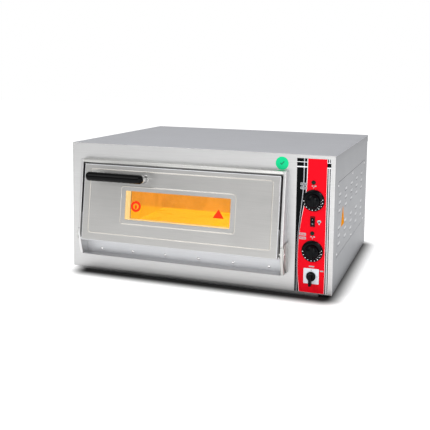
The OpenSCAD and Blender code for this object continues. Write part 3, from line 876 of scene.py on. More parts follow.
class Finishes:
    """Every material of the oven, made once."""

    def __init__(self) -> None:
        """Makes the materials."""
        self.front = Brushed("front_sheet", (0.515, 0.515, 0.515), 0.36).make()
        # Top sheet: a lighter, bluer copy of the stainless, painted light on the upward faces.
        self.top = Brushed("top_sheet_lit", (0.69, 0.70, 0.74), 0.44, Grain.ALONG_X, 0.05).make()
        # Side sheet: a darker copy of the stainless, painted shade on the side faces.
        self.side = Brushed("side_sheet_shaded", (0.25, 0.255, 0.27), 0.42, Grain.ALONG_Y).make()
        # Louvre sheet: a lighter copy of the side sheet, painted highlight on the upward louvre faces.
        self.louvre = Brushed("louvre_sheet_lit", (0.44, 0.445, 0.46), 0.38, Grain.ALONG_Y).make()
        self.door = Brushed("door_sheet", (0.48, 0.475, 0.465), 0.34).make()
        # Cheek sheet: a lighter copy of the front stainless, painted light.
        self.cheek = Brushed("cheek_sheet_lit", (0.60, 0.60, 0.60), 0.34, Grain.ALONG_Z,
                             streak=0.02, relief=0.01).make()
        # Edge sheet: a lighter, less metallic copy, painted highlight on folds and cheek faces.
        self.edge = Brushed("edge_highlight_sheet", (0.54, 0.545, 0.56), 0.42, Grain.ALONG_Z,
                            streak=0.02, relief=0.01, metal=0.7).make()
        self.bracket = Brushed("bracket_sheet", (0.52, 0.52, 0.505), 0.42, Grain.ALONG_Z, 0.04).make()
        # Sill sheet: a lighter copy, painted light against the shade under the door.
        self.sill = Brushed("sill_sheet_lit", (0.58, 0.59, 0.61), 0.46, Grain.ALONG_X, 0.05).make()
        self.ledge = Brushed("ledge_sheet", (0.54, 0.54, 0.55), 0.30, Grain.ALONG_X, 0.05).make()
        self.mill = Brushed("mill_sheet", (0.50, 0.50, 0.49), 0.45, Grain.ALONG_Y).make()
        # Bead finish: a lighter, warmer copy of the door sheet, painted highlight on the bead lines.
        self.bead = Brushed("bead_highlight", (0.51, 0.49, 0.45), 0.36, Grain.ALONG_X, 0.05).make()
        self.bright = Polished("bright_metal").make()
        self.pin = Polished("pin_metal", (0.62, 0.62, 0.62), 0.22).make()
        self.dark_metal = Polished("dark_metal", (0.16, 0.16, 0.16), 0.35).make()
        self.copper = Polished("copper_tube", (0.72, 0.40, 0.24), 0.25).make()
        self.grip = Plastic("grip_gloss", (0.001, 0.001, 0.0012), 0.08, 0.0, 0.02, 0.10).make()
        self.knob = Plastic("knob_gloss", (0.0012, 0.0016, 0.0026), 0.16, 0.03, 0.02, 0.07).make()
        self.casing_black = Plastic("switch_black", (0.008, 0.008, 0.009), 0.40).make()
        self.cream = Plastic("device_cream", (0.72, 0.69, 0.60), 0.5).make()
        self.silver = Plastic("plate_silver", (0.74, 0.78, 0.84), 0.30, 0.0, 0.03, 0.3).make()
        self.nylon = Plastic("gland_nylon", (0.02, 0.02, 0.022), 0.5, 0.0, 0.1).make()
        self.red = Print("film_red", (0.76, 0.002, 0.012), 0.4, 0.05).make()
        self.black = Print("film_black", (0.0015, 0.002, 0.0025), 0.32, 0.04).make()
        self.white = Print("film_white", (0.82, 0.82, 0.84)).make()
        self.grey = Print("film_grey", (0.22, 0.23, 0.25)).make()
        self.icon = Print("film_mark", (0.38, 0.39, 0.41)).make()
        self.green = Print("label_green", (0.006, 0.60, 0.25)).make()
        self.deep = Print("label_ink", (0.01, 0.22, 0.10)).make()
        self.amber = Print("label_amber", (0.76, 0.27, 0.0), 0.7, 0.01).make()
        self.mark = Print("mark_red", (0.90, 0.035, 0.006)).make()
        self.wool = Wool("mineral_wool", (0.76, 0.68, 0.44)).make()
        self.braid = Wool("gasket_braid", (0.16, 0.15, 0.14), 700.0).make()
        # Chamber and reveal sheets carry painted glow: emission stands in for the lamp's light, with a
        # painted reflection of the stones.
        self.chamber = HotSheet("chamber_sheet_painted_glow", (1.0, 0.47, 0.01), (0.74, 0.27, 0.03), 0.75).make()
        self.reveal = HotSheet("reveal_sheet_painted_glow", (1.0, 0.72, 0.30), (1.0, 0.72, 0.30), 0.85).make()
        self.stone = Stone("hearth_tile_painted_glow").make()
        self.sheath = Polished("element_sheath", (0.10, 0.085, 0.075), 0.55).make()
        self.glass = Glass("door_glass").make()
        self.lamp_glass = Glass("lamp_glass", (1.0, 0.95, 0.85), 0.05).make()
        self.bulb = Glow("bulb_light", (1.0, 0.9, 0.7), (1.0, 0.75, 0.35), 12.0).make()
        self.pilot = Glow("pilot_lens", (0.001, 0.014, 0.006), (0.01, 0.25, 0.10), 0.004, 0.12).make()


@dataclass
class Assembly:
    """A group of pieces that shares one set of finishes."""

    fin: Finishes
    frame: dict

    def dress(self, fin: bpy.types.Material, *nodes: str) -> None:
        """Gives CAD nodes one finish.

        Args:
            fin: the finish.
            nodes: CAD node names.
        """
        for name in nodes:
            obj = self.frame["nodes"][name]
            obj.data.materials.clear()
            obj.data.materials.append(fin)
            LOG.info("%s: CAD mesh, finish %s", name, fin.name)


# ---------- casing ----------


@dataclass
class Casing(Assembly):
    """Front sheet, top cover, side with pressed louvres, labels and rear fittings."""

    fold: float = 1.1
    top_r: float = 2.2
    top_flange: float = 25.0
    opening: tuple[float, float] = (693.0, 312.0)
    opening_z: float = 213.5
    service_d: tuple[float, float] = (62.0, 650.0)
    service_z: tuple[float, float] = (104.0, 339.0)
    louvre_d: tuple[float, ...] = (101.0, 219.0, 337.0, 454.0, 577.0)
    louvre_z: tuple[float, ...] = (298.0, 272.0, 246.0, 192.0, 166.0, 140.0)
    louvre_half: tuple[float, float] = (21.0, 6.2)
    louvre_lip: float = -0.5
    side_x: float = 448.8
    disc: tuple[float, float] = (286.0, 399.5)
    gland_at: tuple[float, float] = (375.0, 60.0)
    foot: tuple[float, float] = (820.0, 660.0)

    def build(self) -> None:
        """Builds every piece of the casing."""
        self.front()
        self.top()
        self.service()
        self.screws()
        self.labels()
        self.gland()
        self.plinth()
        # Side panels take the darker side copy, painted shade.
        self.dress(self.fin.side, "left_side_panel", "right_side_panel")
        self.dress(self.fin.mill, "back_panel", "base_pan", "compartment_divider")
        self.dress(self.fin.cream, "terminal_block", "upper_thermostat", "lower_thermostat")
        self.dress(self.fin.casing_black, "main_switch_body")
        self.dress(self.fin.copper, "upper_sensor", "lower_sensor")

    def front(self) -> None:
        """The front sheet: rings from the mouth's edge out to its folded rim and back."""
        w, h = self.opening
        hole = frames([(0.3, w, h), (0.0, w + 0.6, h + 0.6), (0.0, w + 3, h + 3), (SHEET, w, h)],
                      1.0, MOUTH_X, self.opening_z)
        turn = np.linspace(0, math.pi / 2, 6)
        edge = [(0.0, 3.0)]
        edge += [(self.fold * (1 - math.cos(t)), self.fold * (1 - math.sin(t))) for t in turn]
        edge += [(SHEET, 0.0), (SHEET, SHEET), (6.0, SHEET + 1), (6.0, 3.6), (SHEET, 3.6)]
        rim = frames([(d, BODY_W - 2 * less, BODY_H - 2 * less) for d, less in edge],
                     1.2, 0, BODY_H / 2)
        rings = np.concatenate([hole[:3], rim, hole[3:]])
        Surface("front_sheet").loft(rings, at_front, closed=True).build(
            [self.fin.front], Body.OVEN, "front_panel", "brushed_casing")

    def top(self) -> None:
        """The top cover: a bent section drawn back, with a rear flange."""
        r, x, z, low = self.top_r, BODY_W / 2, BODY_H, BODY_H - self.top_flange
        q = r - SHEET
        outer = [(-x, low), *arc(-x + r, z - r, r, 180, 90), *arc(x - r, z - r, r, 90, 0), (x, low)]
        inner = [(x - SHEET, low), *arc(x - r, z - r, q, 0, 90), *arc(-x + r, z - r, q, 90, 180),
                 (-x + SHEET, low)]
        section = np.array(outer + inner)
        rings = np.stack([_with_depth(section, d) for d in (SHEET + 0.02, 240.0, 480.0, BODY_D)])
        marks = np.zeros((len(rings) - 1, len(section)), int)
        # The down-turned flanks take the darker side copy, painted shade.
        marks[:, [0, len(outer) - 2]] = 1
        s = Surface("top_cover_sheet").loft(rings, at_front, marks)
        flange = rounded_outline(897.0, 18.6, 1.5, 0, z - SHEET - 9.4)
        s.plate(flange, BODY_D - SHEET, BODY_D, 0.3, at_front)
        s.build([self.fin.top, self.fin.side], Body.OVEN, "top_cover", "brushed_casing")

    def service(self) -> None:
        """The service panel, whose louvres are pressed out of it.

        With a and b the distances from a louvre's middle over its half sizes, the sheet swells by
        1.08 (1 - a^4) (1 - b^2)^0.5 over -0.5 < b < 1. Over the slot below that it dips by
        1.5 (1 - a^4) sin(2 pi (-0.5 - b)).
        """
        x1, lip = self.side_x, self.louvre_lip
        half_d, half_z = self.louvre_half
        d = np.arange(self.service_d[0], self.service_d[1] + 1e-6, 2.0)
        z = np.unique(np.concatenate([np.arange(self.service_z[0], self.service_z[1] + 0.1, 2.5)]
                                     + [np.linspace(c - 6.6, c + 6.6, 18) for c in self.louvre_z]))
        dd, zz = np.meshgrid(d, z)
        out = np.zeros_like(dd)
        for cd in self.louvre_d:
            for cz in self.louvre_z:
                a = 1 - np.clip(np.abs(dd - cd) / half_d, 0, 1) ** 4
                b = np.clip((zz - cz) / half_z, -1, 1)
                swell = 1.08 * np.sqrt(1 - b ** 2)
                dip = -1.5 * np.sin(2 * math.pi * np.clip(lip - b, 0, 0.5))
                out += a * np.where(b > lip, swell, dip)
        mid = (out[1:, 1:] + out[1:, :-1] + out[:-1, 1:] + out[:-1, :-1]) / 4
        # Faces that swell out take the lighter louvre copy, a painted highlight.
        marks = np.where(mid > 0.3, 1, 0)
        front = from_side(np.stack([dd, x1 + out, zz], -1))
        back = from_side(np.stack([dd, x1 + np.minimum(out, 0) - 1.0, zz], -1))
        Surface("service_sheet").skin(front, back, np.array, 0, marks).build(
            [self.fin.side, self.fin.louvre], Body.OVEN, "service_panel", "brushed_casing", 50)

    def screws(self) -> None:
        """Domed heads with a round recess, six on the service panel and four behind."""
        head = [(-7.95, 0.02), (-7.9, 1.9), (-0.05, 1.9), (0.0, 3.95), (0.45, 3.8), (0.85, 3.2),
                (1.06, 2.2), (1.0, 1.6), (0.4, 1.3), (0.38, 0.02)]
        s = Surface("panel_screws")
        mid = sum(self.service_d) / 2
        for d in (self.service_d[0] + 9, mid, self.service_d[1] - 9):
            for z in (self.service_z[0] + 9, self.service_z[1] - 9):
                s.turn(head, (self.side_x, d, z), at_front, 0, 24)
        back = [(0.0, 0.02), (0.0, 1.9), (7.9, 1.9), (7.95, 3.9), (8.6, 3.8), (9.6, 3.0), (10.1, 2.2),
                (9.9, 1.5), (9.2, 1.3), (9.15, 0.02)]
        for i in (-3, -1, 1, 3):
            s.turn(back, (i * 125.0, BODY_D - 8, BODY_H - 10), at_front, 1, 24)
        s.build([self.fin.bright], Body.OVEN, "casing_screws", "bright_steel")

    def labels(self) -> None:
        """A round label with a tick on the front and a plain triangle on the side."""
        s = Surface("stuck_labels")
        x, z = self.disc
        s.plate(rounded_outline(41, 41, 20.4, x, z, 16), -0.3, 0.0, 0.1, at_front, 0)
        tick = [(-7, 1), (-4.6, 3.2), (-1.6, 0), (5.5, 8.4), (8, 6.2), (-1.5, -5)]
        s.plate(np.array(tick) + (x, z - 1), -0.38, -0.29, 0.02, at_front, 1)
        tri = round_polygon([(136.2, 185.4), (197.8, 185.4), (167, 250)], 2.5)
        s.plate(tri, self.side_x, self.side_x + 0.3, 0.1, from_side, 2)
        s.build([self.fin.green, self.fin.deep, self.fin.amber], Body.OVEN,
                "surface_labels", "label_film")

    def gland(self) -> None:
        """The cable gland: a hexagon seat, a ribbed dome nut and a clear bore."""
        x, z = self.gland_at
        s = Surface("gland_set")
        t = np.linspace(0, 2 * math.pi, 60, endpoint=False)
        flats = 13.9 / np.maximum(np.cos((t % (math.pi / 3)) - math.pi / 6), 0.5)
        hexa = np.minimum(flats, 15.2)
        ribs = 13.3 + 0.35 * np.cos(t * 20)
        body = [(-15.0, 7.55), (-15.0, 9.9), (0.0, 9.9), (0.05, hexa - 0.4), (0.6, hexa), (5.4, hexa),
                (5.9, hexa - 0.5), (6.2, ribs - 0.4), (7.0, ribs), (14.0, ribs - 0.3),
                (18.0, ribs * 0.93), (20.8, ribs * 0.86), (21.8, 10.0), (21.9, 8.3), (20.5, 7.6),
                (2.0, 7.55)]
        nut = [(-7.3, 10.0), (-7.2, hexa - 0.9), (-2.5, hexa - 0.9), (-2.42, 10.0)]
        for rows in (body, nut):
            s.loft(circles([(BODY_D + d, r) for d, r in rows], x, z, 60), at_front, closed=True)
        s.build([self.fin.nylon], Body.OVEN, "cable_gland", "gland_plastic")

    def plinth(self) -> None:
        """The plinth: a folded ring that stands on the floor."""
        w, d = self.foot
        rows = [(0, 0), (0, -7.2), (0.25, -7.8), (0.9, -8), (25, -8), (25, -6.9), (1.5, -6.9),
                (1.2, -6.4), (1.2, 0)]
        flat = [rounded_outline(w - 2 * a, d - 2 * a, max(3.0 - a, 0.5), -2.0, d / 2) for a, _ in rows]
        rings = [np.insert(outline, 2, z, axis=1) for outline, (_, z) in zip(flat, rows)]
        Surface("plinth_frame").loft(np.stack(rings), at_front, closed=True).build(
            [self.fin.front], Body.OVEN, "plinth", "brushed_casing")


# ---------- mouth ----------


@dataclass
class MouthSurround(Assembly):
    """Folded cheeks, hood channel, ledge, sill strip, rivets, seat and gasket."""

    cheek_in: float = 345.0
    cheek_w: float = 9.5
    hood_z: tuple[float, float] = (368.0, 378.5)
    ledge_z: float = 59.0
    ledge_out: float = 39.0
    lip_hole_z: float = 145.0
    rivets: int = 6
    pitch: float = 118.0
    rivet_at: tuple[float, float] = (3.5, 12.5)
    gasket_r: float = 14.0

    def reach(self, z: np.ndarray) -> np.ndarray:
        """How far the cheek stands out at height z, linear between its bends."""
        return np.interp(z, [57.8, 82.0, 128.0, 378.5], [34.0, 42.0, 53.0, 25.0])

    def build(self) -> None:
        """Builds every piece round the mouth."""
        s = Surface("mouth_surround")
        for side in (-1, 1):
            self.cheek(s, side)
        self.hood(s)
        out, z = self.ledge_out, self.ledge_z
        nose = [(-out + 0.6, z - SHEET), (-out, z - SHEET / 2), (-out + 0.6, z), (10.0, z),
                (10.0, z - SHEET)]
        self.across(s, nose, 1, 0.1)
        s.build([self.fin.cheek, self.fin.ledge, self.fin.dark_metal, self.fin.edge, self.fin.bracket],
                Body.OVEN, "mouth_frame", "brushed_casing")
        # The sill takes the lighter sill copy, painted light.
        self.dress(self.fin.sill, "sill_plate")
        self.dress(self.fin.front, "door_seat")
        self.sill_rivets()
        self.gasket()

    def cheek(self, s: Surface, side: int) -> None:
        """One folded cheek: a section with round corners that follows the bends of its edge.

        Args:
            s: Surface to add to.
            side: -1 for left, 1 for right.
        """
        x0, x1 = self.cheek_in, self.cheek_in + self.cheek_w
        z = np.concatenate([[57.8, 58.4], np.linspace(62, 82, 6), np.linspace(88, 128, 9),
                            np.linspace(134, 378.0, 40), [378.5]])
        r = 1.6
        t = np.linspace(0, math.pi / 2, 5)
        xs = np.concatenate([[x0], x0 + r * (1 - np.cos(t)), x1 - r * (1 - np.cos(t[::-1])), [x1]])
        ds = np.concatenate([[np.nan], r * (1 - np.sin(t)), r * (1 - np.sin(t[::-1])), [np.nan]])
        rings = []
        for k, zz in enumerate(z):
            out = float(self.reach(np.array(zz)))
            shrink = 0.6 if k in (0, len(z) - 1) else 0.0
            d = np.where(np.isnan(ds), 0.0, -out + ds + shrink)
            rings.append(np.stack([MOUTH_X + side * xs, d, np.full_like(d, zz)], -1))
        marks = np.zeros((len(z) - 1, len(xs)), int)
        # On the right cheek the outer face takes the edge copy, a painted highlight, and the part below
        # the lip hole takes the darker bracket finish.
        if side > 0:
            marks[:, -2] = 3
            marks[z[1:] < self.lip_hole_z + 8] = 4
        s.loft(np.stack(rings), at_front, marks)
        wall = np.array([(0.0, 57.8), (34.0, 57.8), (34.0, 369.2), (0.0, 369.2)])
        a, b = sorted((MOUTH_X + side * x0, MOUTH_X + side * (x0 + SHEET)))
        s.bar(wall, a, b, at_front, 0, 0.1)
        hole_x = MOUTH_X + side * (x0 + x1) / 2
        out = float(self.reach(np.array(self.lip_hole_z)))
        # A dark metal disc on the lip, painted shade standing in for the hole.
        rim = [(0.0, 0.02), (0.0, 3.4), (-0.35, 3.3), (-0.4, 2.8), (-0.15, 2.6), (-0.1, 0.02)]
        s.turn(rim, (hole_x, -out + 0.35, self.lip_hole_z), at_front, 1, 24, 2)

    def across(self, s: Surface, section: Pairs, slot: int, bevel: float) -> None:
        """Draws a section of (depth, height) from one cheek to the other."""
        half = self.cheek_in
        s.bar(np.array(section), MOUTH_X - half, MOUTH_X + half, at_front, slot, bevel)

    def hood(self, s: Surface) -> None:
        """The channel over the mouth, rounded along both front edges.

        Args:
            s: Surface to add to.
        """
        z0, z1 = self.hood_z
        r, out = 1.8, 25.0
        section = arc(-out + r, z0 + r, r, 270, 180) + arc(-out + r, z1 - r, r, 180, 90)
        section += [(0.0, z1), (0.0, z1 - SHEET), (-20.0, z1 - SHEET), (-20.0, z0 + SHEET)]
        section += [(34.0, z0 + SHEET), (34.0, z0)]
        self.across(s, section, 4, 0.05)

    def sill_rivets(self) -> None:
        """Six domed rivets in a row."""
        dome = [(-0.0, 0.02), (0.0, 1.95), (-1.2, 1.95), (-1.25, 4.4), (-1.7, 4.45), (-2.2, 3.9),
                (-2.65, 2.9), (-2.9, 1.5), (-2.98, 0.02)]
        s = Surface("domed_rivets")
        x0, rise = self.rivet_at
        for i in range(self.rivets):
            x = MOUTH_X + x0 + (i - (self.rivets - 1) / 2) * self.pitch
            s.turn(dome, (x, 0.0, self.ledge_z + rise), at_front, 1, 28)
        s.build([self.fin.bright], Body.OVEN, "sill_rivets", "bright_steel")

    def gasket(self) -> None:
        """A braided rope over the chamber's mouth: straight runs joined by quarter circles."""
        side, low = 318.6, 62.0
        lintel = (290 - DOOR_Z + 51 * math.sin(LEAN)) / math.cos(LEAN) + 9.0
        r = self.gasket_r
        left = np.stack([np.full(60, -side), np.linspace(low, lintel - r, 60)], -1)
        turn1 = np.array(arc(-side + r, lintel - r, r, 180, 90, 10))
        over = np.stack([np.linspace(-side + r, side - r, 220), np.full(220, lintel)], -1)
        turn2 = np.array(arc(side - r, lintel - r, r, 90, 0, 10))
        right = left[::-1] * (-1, 1)
        flat = np.concatenate([left, turn1[1:], over[1:], turn2[1:], right[1:]])
        path = np.stack([flat[:, 0], np.full(len(flat), 48.0), flat[:, 1]], -1)
        Surface("gasket_rope").tube(path, 2.5, at_door, 14).build(
            [self.fin.braid], Body.OVEN, "seat_gasket", "gasket_braid", 60)


# ---------- door ----------


@dataclass
class Door(Assembly):
    """Pressed door skin with two beads, window, glass and marks, placed by distance up its slope."""

    w: float = 677.0
    h: float = 255.0
    t: float = 45.0
    window: tuple[float, float] = (363.0, 94.0)
    window_s: float = 127.0
    bead: tuple[float, float] = (633.0, 216.0)
    bead_s: float = 133.0
    bead_half: float = 1.5
    bead_lift: float = 0.97
    fold: float = 2.0

    def build(self) -> None:
        """Builds the pieces of the door."""
        self.skin()
        self.tunnel()
        self.marks()
        self.dress(self.fin.mill, "door_inner_skin")
        self.dress(self.fin.wool, "door_insulation")
        self.dress(self.fin.glass, "outer_glass", "inner_glass")

    def skin(self) -> None:
        """The outer skin as rings, from the window's edge out over both beads to the rim.

        A bead of half width b and height h lifts the sheet by h cos^2(pi x / 2b).
        """
        w, h = self.window
        mid = self.h / 2

        def ring(ww: float, hh: float, r: float, s: float, y: float) -> np.ndarray:
            """A rounded rectangle in the door's frame."""
            return _with_depth(rounded_outline(ww, hh, r, 0, s, 8), y)

        rings, marks = [ring(w, h, 3, self.window_s, 1.15), ring(w, h, 3, self.window_s, 0.5),
                        ring(w + 0.8, h + 0.8, 3.4, self.window_s, 0.05)], [0, 0]
        steps = np.linspace(-1, 1, 9)
        rings.append(ring(w + 5, h + 5, 5, self.window_s, 0))
        marks.append(0)
        for (ww, hh), r, s in (((w + 36, h + 32), 11, self.window_s),
                               ((self.bead[0] - 1, self.bead[1] - 1), 9, self.bead_s)):
            for k in (-1.8, *steps, 1.8):
                o = self.bead_half * (k - 1)
                lift = self.bead_lift * math.cos(math.pi / 2 * min(max(k, -1.0), 1.0)) ** 2
                rings.append(ring(ww + 2 * o, hh + 2 * o, r + o, s, -lift))
            # Bead faces take the lighter bead copy, a painted highlight.
            marks += [0, 0] + [1] * (len(steps) - 1) + [0]
        rings.append(ring(self.w - 6, self.h - 6, 2.2, mid, 0))
        marks.append(0)
        turn = np.linspace(0, math.pi / 2, 6)
        edge = [(self.fold * (1 - math.cos(a)), self.fold * (1 - math.sin(a))) for a in turn]
        edge += [(self.t - 0.6, 0.0), (self.t, 0.5), (self.t, 1.2), (3.0, 1.2), (1.2, 2.5)]
        for y, less in edge:
            rings.append(ring(self.w - 2 * less, self.h - 2 * less, 2.2, mid, y))
        # The folded rim takes the edge copy, a painted highlight.
        marks += [2] * len(turn)
        marks += [0] * (len(rings) - len(marks))
        pts = np.stack(rings)
        Surface("door_skin").loft(pts, at_door, np.repeat(marks, pts.shape[1]), True).build(
            [self.fin.door, self.fin.bead, self.fin.edge], Body.DOOR, "door_outer_skin",
            "brushed_casing")

    def tunnel(self) -> None:
        """The reveal between both panes: a rolled collar with a lip behind each pane."""
        w, h = self.window
        rows = [(5.3, 10.0), (5.3, 0.2), (7.0, 0.0), (22.5, 0.0), (38.0, 0.0), (39.7, 0.2), (39.7, 10.0),
                (38.6, 10.0), (38.6, 1.5), (6.4, 1.5), (6.4, 10.0)]
        rings = frames([(y, w + 2 * g, h + 2 * g) for y, g in rows], 2.0, 0, self.window_s)
        # The collar's finish is painted warm glow from the chamber.
        Surface("window_collar").loft(rings, at_door, closed=True).build(
            [self.fin.reveal], Body.DOOR, "window_tunnel", "brushed_casing")

    def marks(self) -> None:
        """A ring and a triangle printed on the outer pane."""
        s = Surface("pane_marks")
        rows = [(0.92, 17.9), (0.92, 10.1), (1.18, 10.1), (1.18, 17.9)]
        s.loft(circles(rows, -143, self.window_s - 2, 48), at_door, closed=True)
        s.plate(rounded_outline(7, 13, 3.4, -143, self.window_s - 4, 8), 0.92, 1.18, 0.05, at_door)
        tri = round_polygon([(124.5, 110.0), (161.5, 110.0), (143, 138.0)], 2.0)
        s.plate(tri, 0.92, 1.18, 0.05, at_door)
        s.build([self.fin.mark], Body.DOOR, "window_symbols", "red_mark")


@dataclass
class Handle(Assembly):
    """Gloss bar grip on two metal stand-offs."""

    x: float = -204.0
    s: float = 215.5
    out: float = 45.0
    length: float = 204.0
    r: float = 15.0
    end_r: float = 12.0

    def build(self) -> None:
        """Builds grip, stand-offs and bolts."""
        half, r, q = self.length / 2, self.r, self.end_r
        a = np.linspace(0, math.pi / 2, 10)
        end = [(half - q + q * math.sin(t), r - q + q * math.cos(t)) for t in a]
        groove = [(half - 14.5, r - 0.02), (half - 14.0, r - 0.5), (half - 13.4, r - 0.5),
                  (half - 12.9, r - 0.02)]
        right = groove + end + [(half - 0.01, 0.02)]
        left = [(-a, b) for a, b in reversed(right)]
        body = [(float(x), r - 0.03) for x in np.linspace(-half + 18, half - 18, 9)]
        grip = Surface("grip_bar")
        grip.turn(left + body + right, (self.x, -self.out, self.s), at_door, 0, 56).build(
            [self.fin.grip], Body.DOOR, "handle_grip", "grip_plastic")
        posts, bolts = Surface("grip_posts"), Surface("grip_bolts")
        for side in (-1, 1):
            x = self.x + side * (half - self.r)
            post = [(-33.5, 4.4), (-33.0, 9.0), (-32.2, 11.2), (-30.8, 12.2), (-28, 12.6), (-12, 12.6),
                    (-8, 13.0), (-4.2, 13.9), (-1.2, 13.95), (-0.1, 13.6), (-0.05, 4.4)]
            posts.loft(circles(post, x, self.s, 48), at_door, closed=True)
            for y in (-5.6, -10.0, -15.5, -21.0):
                band = [(y, 12.4), (y - 1.6, 12.4), (y - 1.6, 13.9 + y / 18), (y, 13.9 + y / 18)]
                posts.loft(circles(band, x, self.s, 48), at_door, 1, True)
            bolt = [(-42.9, 0.02), (-42.9, 3.4), (-42.3, 3.9), (1.2, 3.95), (1.25, 6.2), (1.7, 6.45),
                    (5.6, 6.45), (6.1, 6.1), (6.18, 3.0), (4.0, 2.6), (4.0, 0.02)]
            bolts.turn(bolt, (x, 0.0, self.s), at_door, 1, 30)
        posts.build([self.fin.bright, self.fin.dark_metal], Body.DOOR, "handle_standoffs",
                    "bright_steel")
        bolts.build([self.fin.pin], Body.DOOR, "handle_bolts", "bright_steel")


@dataclass
class Hinges(Assembly):
    """Door arms, pins, brackets and stops at both sides."""

    door_half: float = 338.5
    cheek_in: float = 345.0
    cheek_out: float = 354.5
    pivot: tuple[float, float] = (8.0, 17.0)
    bore_r: float = 4.1
    arm_half: float = 7.9
    arm_top: float = 74.8
    stop_at: tuple[float, float] = (-3.0, -11.1)

    def at_pivot(self, p: np.ndarray) -> np.ndarray:
        """Places points measured from the hinge axis in the door's frame."""
        return at_door(p + np.array([0.0, self.pivot[0], self.pivot[1]]))

    def at_cheek(self, p: np.ndarray) -> np.ndarray:
        """Places (depth, x, height) points, with x counted from the mouth's middle."""
        return from_side(p + np.array([0, MOUTH_X, 0]))

    def build(self) -> None:
        """Builds the hinge pieces."""
        arms, pins, brackets, stops = (
            Surface(f"{n}_pair") for n in ("hinge_arm", "hinge_pin", "bracket", "stop"))
        t, r, top = np.radians(np.linspace(180, 360, 17)), self.arm_half, self.arm_top
        low = np.stack([r * np.cos(t), r * np.sin(t)], -1)
        outline = np.concatenate([low, [(r, top - 4.8), (5.0, top), (-5.0, top), (-r, top - 4.8)]])
        for side in (-1, 1):
            self._bored(arms, outline, side)
            reach, door = self.cheek_out + 3.5, self.door_half
            pin = [(door + 0.4, 0.02), (door + 0.4, 3.3), (door + 1.1, 3.97), (reach, 3.97),
                   (reach + 0.02, 4.9), (reach + 0.3, 5.15), (reach + 0.9, 5.0),
                   (reach + 1.3, 3.9), (reach + 1.5, 2.1), (reach + 1.55, 0.02)]
            pins.turn([(side * a, r) for a, r in pin], (0, 0, 0), self.at_pivot, 0, 32)
            plate = [(-0.05, 58.1), (-12, 58.1), (-51.9, 114), (-51.9, 138), (-38, 155.9),
                     (-0.05, 155.9)]
            brackets.plate(round_polygon(plate, 6, 5), side * (self.cheek_out + 0.02),
                           side * (self.cheek_out + 3.48), 0.5, self.at_cheek)
            c, sn = math.cos(LEAN), math.sin(LEAN)
            y, zz = self.stop_at
            off = (y * c - zz * sn, y * sn + zz * c)
            end = self.cheek_in - 0.02
            stop = [(door + 1.05, 0.02), (door + 1.05, 2.5), (door + 1.5, 2.96), (end, 2.96),
                    (end, 0.02)]
            stops.turn([(side * a, r) for a, r in stop], (0, off[0], off[1]), self.at_pivot, 0, 24)
        arms.build([self.fin.dark_metal], Body.DOOR, "hinge_arms", "bright_steel")
        pins.build([self.fin.bright], Body.OVEN, "hinge_pins", "bright_steel")
        brackets.build([self.fin.bracket], Body.OVEN, "hinge_brackets", "brushed_casing")
        stops.build([self.fin.pin], Body.OVEN, "door_stops", "bright_steel")

    def _bored(self, s: Surface, outline: np.ndarray, side: int) -> None:
        """Adds one arm, as rings from its bore out to its outline and back.

        Args:
            s: the surface that takes it.
            outline: (n, 2) points round the hinge axis.
            side: -1 for the left arm and 1 for the right one.
        """
        x0, x1 = self.door_half + 0.05, self.door_half + 3.95
        ang = np.arctan2(outline[:, 1], outline[:, 0])
        bore = self.bore_r * np.stack([np.cos(ang), np.sin(ang)], -1)
        rows = [(bore, x0 + 0.2), (bore * 1.05, x0), (inset(outline, 0.4), x0), (outline, x0 + 0.4),
                (outline, x1 - 0.4), (inset(outline, 0.4), x1), (bore * 1.05, x1), (bore, x1 - 0.2)]
        rings = np.stack([_with_depth(o, x) for o, x in rows])
        s.loft(rings[..., [1, 0, 2]] * (side, 1, 1), self.at_pivot, closed=True)


# ---------- inside ----------


@dataclass
class Inside(Assembly):
    """Chamber, stones, elements, lamp and insulation, which keep their CAD meshes."""

    def build(self) -> None:
        """Dresses every inner node."""
        f = self.fin
        # Chamber sheet and stones carry painted glow.
        self.dress(f.chamber, "chamber_shell", "upper_hangers", "stone_supports")
        self.dress(f.stone, "hearth_stones")
        self.dress(f.sheath, "upper_elements", "lower_elements")
        self.dress(f.bright, "element_flanges")
        self.dress(f.mill, "lamp_holder")
        self.dress(f.bulb, "lamp_bulb")
        self.dress(f.lamp_glass, "lamp_glass")
        self.dress(f.wool, "roof_insulation", "floor_insulation", "left_insulation",
                   "right_insulation", "back_insulation")


# ---------- control strip ----------


